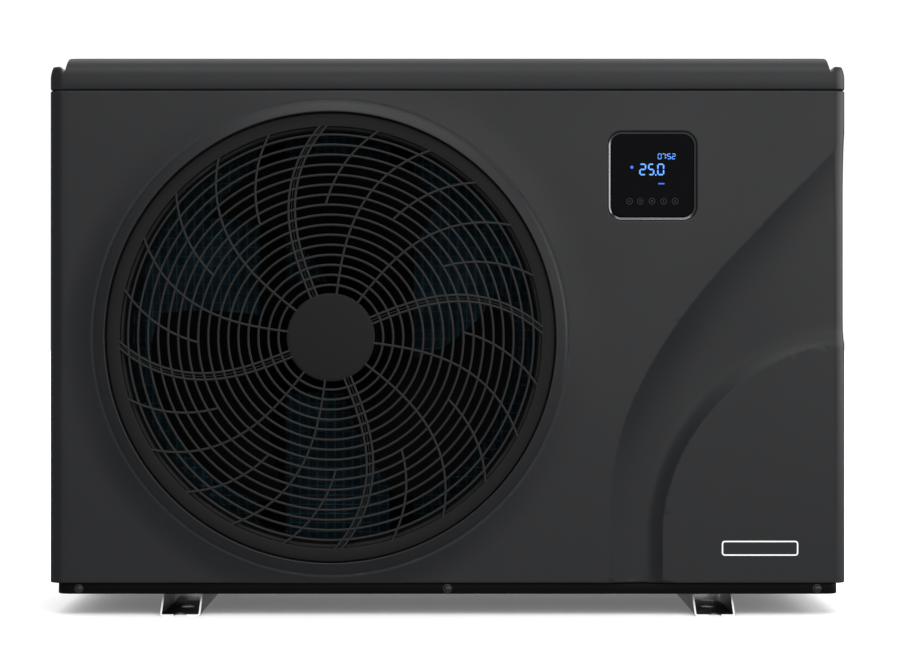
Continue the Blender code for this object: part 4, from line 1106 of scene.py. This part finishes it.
def rear_guard():
    x0, x1, z0, z1 = -435.2, 158.0, SHELL_Z0, SHELL_Z1
    holes = []
    cols, rows = 6, 13
    pitch_x, pitch_z = (x1 - x0 - 20) / cols, (z1 - z0 - 20) / rows
    for i in range(cols):
        for j in range(rows):
            a, b = x0 + 13 + pitch_x * i, z0 + 13 + pitch_z * j
            holes.append(rounded(a, a + pitch_x - 6, b, b + pitch_z - 6, 3.0, 4))
    outline = subdivide([(x0, z0), (x1, z0), (x1, z1), (x0, z1)], 45)
    body = flat_plate("Y", 159.0, 1, outline, holes, 5.5, 0.9, guard=0.6)
    piece("rear_guard_frame", body, "black", stands_for=["rear_guard"])
    bars = []
    for i in range(cols):
        for m in range(1, 6):
            x = x0 + 10 + pitch_x * (i + m / 6)
            bars.append(tube([(x, 155.6, z0 + 8), (x, 155.6, z1 - 8)], 0.95, 8))
    for j in range(rows):
        for m in (1, 2):
            z = z0 + 10 + pitch_z * (j + m / 3)
            bars.append(tube([(x0 + 8, 157.2, z), (x1 - 8, 157.2, z)], 0.95, 8))
    piece("rear_guard_wires", join(*bars), "black")


# ---- small pieces ----------------------------------------------------------------------

def screw_head(r, height):
    """Pan head with a cross recess, standing along +a from a = 0: (across, up, along)."""
    n, flat = 48, r * 0.62
    dome = ((r, 0.0), (r, height * 0.35), (r * 0.94, height * 0.62), (r * 0.8, height * 0.85), (flat, height))
    verts = [(u, v, a) for radius, a in dome for u, v in circle(0, 0, radius, n)]
    faces = [tuple(range(n - 1, -1, -1))]
    for i in range(len(dome) - 1):
        strip(faces, range(i * n, i * n + n), range((i + 1) * n, (i + 2) * n))
    arm, half = r * 0.5, r * 0.11
    star = [(arm, -half), (arm, half), (half, half), (half, arm), (-half, arm), (-half, half), (-arm, half),
            (-arm, -half), (-half, -half), (-half, -arm), (half, -arm), (half, -half)]
    top, tris, where = triangulate(circle(0, 0, flat, n), [star])
    base = len(verts)
    verts += [(u, v, height) for u, v in top]
    faces += [tuple(base + i for i in t) for t in tris]
    floor = range(len(verts), len(verts) + len(star))
    verts += [(u, v, height * 0.5) for u, v in star]
    strip(faces, [base + where[n + k] for k in range(len(star))], floor)
    faces.append(tuple(floor))
    return verts, faces


def screw(name, x, y, z, direction, r=5.2, height=2.7, washer=0.0, stands_for=(), mat="steel"):
    """direction is the axis letter with its sign, such as "-Y"."""
    sign = -1.0 if direction[0] == "-" else 1.0
    verts, faces = screw_head(r, height)
    if washer:
        disc = [(r * 0.9, 0), (washer, 0), (washer, 0.9), (r * 0.9, 0.9)]
        verts, faces = join((verts, faces), lathe("Z", 0, 0, disc, 48, 0.3))
    out = []
    for u, v, a in verts:
        a = sign * (a + 0.3)
        out.append({"X": (x + a, y + u, z + v), "Y": (x + u, y + a, z + v),
                    "Z": (x + u, y + v, z + a)}[direction[1]])
    piece(name, (out, faces), mat, stands_for=stands_for, sharp=32)


def digit_bars(digit, x, z, w, h, t):
    """Slanted-end segments of one numeral, lower left corner at x, z."""
    table = {"0": "abcdef", "2": "abged", "5": "afgcd", "7": "abc"}
    middle = z + h / 2
    spans = {"a": ((x, z + h), (x + w, z + h)), "g": ((x, middle), (x + w, middle)), "d": ((x, z), (x + w, z)),
             "f": ((x, middle), (x, z + h)), "b": ((x + w, middle), (x + w, z + h)),
             "e": ((x, z), (x, middle)), "c": ((x + w, z), (x + w, middle))}
    out = []
    for key in table[digit]:
        (xa, za), (xb, zb) = spans[key]
        length = math.dist((xa, za), (xb, zb))
        ux, uz = (xb - xa) / length, (zb - za) / length
        gap, half = t * 0.18, t / 2
        pts = []
        for along, side in ((gap, 0), (gap + half, half), (length - gap - half, half), (length - gap, 0),
                            (length - gap - half, -half), (gap + half, -half)):
            pts.append((xa + ux * along - uz * side, za + uz * along + ux * side))
        out.append(pts)
    return out


def display():
    """Bezel, glass, a clock, a temperature and five plain touch marks; no real symbols."""
    def loop(inset):
        half = DISP_HALF - inset
        return rounded(DISP_X - half, DISP_X + half, DISP_Z - half, DISP_Z + half, DISP_R - inset, 12, 12)

    def printed(loops, y):
        return join(*[prism(shape, y - 0.12, y) for shape in loops])

    def bar(x0, z0, x1, z1):
        return [(x0, z0), (x1, z0), (x1, z1), (x0, z1)]

    section = ((0.3, -199.0), (0.7, -199.6), (1.1, -199.5), (3.2, -197.9), (3.6, -197.4), (3.6, -190.0),
               (0.3, -190.0))
    rings = [flat_ring(loop(inset), y) for inset, y in section]
    piece("display_bezel_ring", rings_body(rings, wrap=True), "bezel", stands_for=["display_bezel"])
    piece("display_glass_pane", flat_plate("Y", GLASS_Y, -1, loop(3.8), (), 2.6, 0.5), "glass",
          stands_for=["display_glass"])

    clock, degrees = [], []
    for text, x in (("0", 251.6), ("7", 256.4), ("5", 262.8), ("2", 268.2)):
        clock += digit_bars(text, x, 545.2, 3.7, 6.0, 0.8)
    clock += [circle(261.4, z, 0.5, 12) for z in (546.8, 549.6)]
    for text, x, width in (("2", 229.9, 6.6), ("5", 240.4, 5.8), ("0", 251.3, 6.8)):
        degrees += digit_bars(text, x, 526.4, width, 12.4, 1.7)
    degrees.append(circle(248.8, 526.0, 0.9, 14))
    marks = [circle(220.2, 535.2, 1.9, 24), rounded(251.6, 259.2, 514.8, 516.4, 0.7, 4)]
    for name, loops, mat in (("digits_small", clock, "lit_white"), ("digits_large", degrees, "lit_white"),
                             ("marks", marks, "lit_blue")):
        piece(f"display_{name}", printed(loops, GLASS_Y - 0.05), mat)

    touch_z, icons = 494.6, []
    for x in (217.4, 230.2, 244.4, 258.2, 271.8):
        wire = ((3.8, -0.15), (3.2, -0.15), (3.2, -0.03), (3.8, -0.03))
        rings = [flat_ring(circle(x, touch_z, r, 32), GLASS_Y + lift) for r, lift in wire]
        icons.append(rings_body(rings, wrap=True))
    strokes = [bar(215.8, 494.2, 219.0, 495.0), bar(228.6, 494.2, 231.8, 495.0), bar(229.8, 493.0, 230.6, 496.2),
               circle(244.4, touch_z, 1.2, 16), bar(257.8, 493.0, 258.6, 496.2), circle(271.8, touch_z, 1.5, 3)]
    piece("display_icons", join(*icons, printed(strokes, GLASS_Y - 0.03)), "icon")


def badge():
    """Blank plate with a plain border."""
    def loop(inset):
        return rounded(327.0 + inset, 419.0 - inset, 71.0 + inset, 89.6 - inset, 4.0 - inset, 8, 8)

    piece("badge_plate_body", flat_plate("Y", -201.0, -1, loop(0.0), (), 0.7, 0.3), "charcoal",
          stands_for=["badge_plate"])
    section = ((0.3, -201.0), (0.4, -201.3), (2.0, -201.3), (2.1, -201.0))
    rings = [flat_ring(loop(inset), y) for inset, y in section]
    piece("badge_border", rings_body(rings, wrap=True), "border")


def water_union(name, z):
    tail = [(22, 147.0), (33, 147.0), (33, 150.0), (27, 150.0), (27, 175.5), (30.5, 176.0), (30.5, 180.6),
            (22, 180.6)]
    piece(f"{name}_tail_turned", lathe("Y", PORT_X, z, tail, 96), "pvc", stands_for=[f"{name}_tail"])
    socket = [(22, 181.0), (30.8, 181.0), (30.8, 185.8), (29.0, 186.2), (29.0, SOCKET_END), (25.1, SOCKET_END),
              (25.1, 188.0), (22, 188.0)]
    piece(f"{name}_socket_turned", lathe("Y", PORT_X, z, socket, 96), "pvc", stands_for=[f"{name}_socket"])
    angles = [2 * math.pi * k / 192 for k in range(192)]
    profile = soften([(31.4, 166.0), (31.4, 186.6), (29.5, 186.6), (29.5, 191.0), (38.6, 191.0), (40.0, 189.0),
                      (40.0, 168.0), (38.6, 166.0)], 0.8)
    rings = []
    for r, y in profile:
        dip = 2.2 if r > 34 else 0.0
        radii = [r - dip * ease((abs(math.sin(6 * a)) - 0.25) * 2.2) for a in angles]
        rings.append([(PORT_X + radius * math.cos(a), y, z + radius * math.sin(a))
                      for radius, a in zip(radii, angles)])
    piece(f"{name}_union_nut_ribbed", rings_body(rings, wrap=True), "pvc", f"{name}_nut",
          [f"{name}_union_nut"])
    seal = [(27.5, 160.2), (38.5, 160.2), (38.5, 161.4), (34.5, 163.0), (27.5, 163.0)]
    piece(f"{name}_wall_seal", lathe("Y", PORT_X, z, seal, 96, 0.4), "rubber")


def gauge():
    x, z = GAUGE_X, GAUGE_Z
    cup = [(0, 149.0), (24.0, 149.0), (24.0, 160.4), (29.0, 160.4), (29.0, 163.4), (27.4, 164.6), (25.2, 164.6),
           (23.2, 161.6), (23.2, 152.0), (0, 152.0)]
    piece("gauge_case", lathe("Y", x, z, cup, 96, 0.5), "black", stands_for=["gauge_body"])
    dial = [(2.0, 152.4), (22.8, 152.4), (22.8, 153.4), (2.0, 153.4)]
    piece("gauge_dial_face", lathe("Y", x, z, dial, 96, 0.2), "dial", stands_for=["gauge_dial"])
    ticks = []
    for k in range(31):
        a = math.radians(225 - 270 * k / 30)
        r0, half = (18.6, 0.18) if k % 5 else (17.0, 0.35)
        c, s = -math.cos(a), math.sin(a)
        corners = ((r0, -half), (21.0, -half), (21.0, half), (r0, half))
        ticks.append(prism([(x + c * r - s * w, z + s * r + c * w) for r, w in corners], 153.42, 153.55))
    piece("gauge_ticks", join(*ticks), "ink")
    pane = [(0, 158.2), (22.8, 158.2), (22.8, 159.8), (0, 159.8)]
    piece("gauge_pane", lathe("Y", x, z, pane, 96, 0.3), "clear", stands_for=["gauge_glass"])
    hub = [(0, 152.4), (1.7, 152.4), (1.7, 154.2), (3.4, 154.2), (3.4, 156.4), (0, 156.8)]
    rest = math.radians(315)
    c, s = math.cos(rest), math.sin(rest)
    corners = ((-6, -1.2), (18.5, -0.3), (18.5, 0.3), (-6, 1.2))
    arm = prism([(x + c * r - s * w, z + s * r + c * w) for r, w in corners], 154.7, 155.6)
    piece("gauge_needle_arm", join(lathe("Y", x, z, hub, 48, 0.4), arm), "needle", "needle", ["gauge_needle"])


def rear_face():
    x0, x1 = 159.0, HALF_W - REAR_RETURN - 0.8
    outline = subdivide([(x0, SHELL_Z0), (x1, SHELL_Z0), (x1, SHELL_Z1), (x0, SHELL_Z1)], 30)
    holes = [circle(PORT_X, z, 28, 64) for z in PORT_Z]
    holes += [circle(GAUGE_X, GAUGE_Z, 24.6, 64), circle(GLAND_X, GLAND_Z, 10.4, 32)]
    piece("rear_panel_sheet", flat_plate("Y", BACK - 0.4, 1, outline, holes, 3.0, 0.9), "charcoal",
          stands_for=["rear_panel"])
    cover = rounded(185, 265, 200, 330, 8, 8, 12)
    piece("wiring_cover_lid", flat_plate("Y", 164.5, 1, cover, (), 4.4, 1.6), "charcoal",
          stands_for=["wiring_cover"])
    for k, (x, z) in enumerate(((193, 208), (257, 208), (193, 322), (257, 322))):
        screw(f"wiring_cover_screw_{k + 1}", x, 164.3, z, "+Y", 3.4, 2.0)
    places = ((170, 50), (424, 50), (170, 340), (424, 520), (170, 614), (424, 614), (424, 280))
    for k, (x, z) in enumerate(places):
        screw(f"rear_panel_screw_{k + 1}", x, BACK - 0.6, z, "+Y", 4.2, 2.4)
    gland = [(7.0, 150.0), (10.0, 150.0), (10.0, 160.0), (15.5, 160.0), (15.5, 165.0), (13.0, 166.0), (13.0, 177.0),
             (10.4, 182.0), (7.0, 182.0)]
    piece("cable_gland_body", lathe("Y", GLAND_X, GLAND_Z, gland, 6 * 12, 0.6), "black", stands_for=["cable_gland"])
    flutes = []
    for k in range(18):
        a = 2 * math.pi * k / 18
        c, s = math.cos(a), math.sin(a)
        path = [(GLAND_X + 13 * c, 167.0, GLAND_Z + 13 * s), (GLAND_X + 13 * c, 176.5, GLAND_Z + 13 * s)]
        flutes.append(tube(path, 0.9, 8))
    piece("cable_gland_flutes", join(*flutes), "black")


def inside():
    """Smooth turned versions of the round inner pieces, and finishes for the rest."""
    rows = [(58, a) for a in (110, 111, 119, 120, 422, 423, 431, 432)]
    shell = [(0, 64), (50, 64), (58, 72), *rows, (58, 470), (50, 480), (0, 484)]
    piece("heat_exchanger_tank", lathe("Z", PORT_X, 88, shell, 96, 3.0), "pvc", stands_for=["heat_exchanger"])
    table = {
        "fan_shroud": "black", "control_box": "zinc", "partition_plate": "zinc", "main_board": "board",
        "display_board": "board", "heat_sink": "alu", "reactor": "copper", "terminal_block": "black",
        "compressor": "vessel", "accumulator": "vessel", "discharge_pipe": "copper", "suction_pipe": "copper",
        "gas_pipe": "copper", "liquid_pipe": "copper", "coil_header": "copper", "four_way_valve": "brass",
        "expansion_valve": "brass", "drain_spout": "black",
    }
    table.update({f"compressor_foot_{k}": "rubber" for k in (1, 2, 3)})
    for node, mat in table.items():
        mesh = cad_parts[node].data
        mesh.materials.clear()
        mesh.materials.append(MAT[mat])


# ---- stage -----------------------------------------------------------------------------

def stage():
    """White floor that melts into a white room, five soft lights and the photo's camera."""
    scene = bpy.context.scene
    scene.view_settings.view_transform = "Standard"
    mesh = bpy.data.meshes.new("floor")
    mesh.from_pydata([(-40, -40, 0), (40, -40, 0), (40, 40, 0), (-40, 40, 0)], [], [(0, 1, 2, 3)])
    floor = bpy.data.objects.new("floor", mesh)
    f = Finish("floor_white", (0.9, 0.9, 0.9), 0.9, Emission_Color=(1.0, 1.0, 1.0, 1.0))
    f.tint(f.noise(1.5), 0.99, 1.01)
    distance = f.node("ShaderNodeVectorMath", operation="LENGTH")
    f.link(f.node("ShaderNodeNewGeometry").outputs["Position"], distance.inputs[0])
    fade = f.node("ShaderNodeMapRange", interpolation_type="SMOOTHSTEP", **FLOOR_GLOW)
    f.link(distance.outputs["Value"], fade.inputs["Value"])
    f.link(fade.outputs["Result"], f.bsdf.inputs["Emission Strength"])
    mesh.materials.append(f.mat)
    scene.collection.objects.link(floor)
    floor.visible_diffuse = floor.visible_glossy = False

    world = bpy.data.worlds.new("studio")
    world.use_nodes = True
    scene.world = world
    tree = world.node_tree
    back = tree.nodes["Background"]
    back.inputs["Color"].default_value = (1.0, 1.0, 1.0, 1.0)
    rays = tree.nodes.new("ShaderNodeLightPath")
    glossy, seen = (tree.nodes.new("ShaderNodeMix") for _ in range(2))
    glossy.inputs["A"].default_value = WORLD_DIFFUSE
    glossy.inputs["B"].default_value = WORLD_GLOSSY
    seen.inputs["B"].default_value = WORLD_SEEN
    tree.links.new(rays.outputs["Is Glossy Ray"], glossy.inputs["Factor"])
    tree.links.new(rays.outputs["Is Camera Ray"], seen.inputs["Factor"])
    tree.links.new(glossy.outputs["Result"], seen.inputs["A"])
    tree.links.new(seen.outputs["Result"], back.inputs["Strength"])

    for name, (spot, target, size, watts) in SOFTBOXES.items():
        data = bpy.data.lights.new(name, "AREA")
        data.shape, data.size, data.size_y, data.energy = "RECTANGLE", *size, watts
        obj = bpy.data.objects.new(name, data)
        obj.location = spot
        obj.rotation_euler = (Vector(target) - Vector(spot)).to_track_quat("-Z", "Y").to_euler()
        obj.visible_camera = False
        scene.collection.objects.link(obj)

    data = bpy.data.cameras.new("camera")
    data.sensor_width, data.lens, data.shift_x = CAM_SENSOR, CAM_LENS, CAM_SHIFT
    cam = bpy.data.objects.new("camera", data)
    cam.location = CAM_PLACE
    cam.rotation_euler = (math.pi / 2, 0.0, 0.0)
    scene.collection.objects.link(cam)
    scene.camera = cam


def build():
    front_panel()
    side_panel(-1)
    side_panel(1)
    louvres()
    lid()
    pan()
    foot(-1)
    foot(1)
    grille()
    shroud()
    impeller()
    motor()
    coil()
    rear_guard()
    display()
    badge()
    for name, z in zip(("inlet", "outlet"), PORT_Z):
        water_union(name, z)
    gauge()
    rear_face()
    for name, x in (("left", -441.0), ("centre", 0.0), ("right", 442.0)):
        screw(f"pan_screw_{name}_head", x, FRONT + 7, 31.5, "-Y", 4.2, 2.4, washer=5.4,
              stands_for=[f"pan_screw_{name}"], mat="screw_dark")
    for name, x in (("left", -300.0), ("right", 300.0)):
        screw(f"cover_screw_{name}_head", x, BACK, 634.0, "+Y", 4.4, 2.4, stands_for=[f"cover_screw_{name}"])
    inside()
    stage()


build()
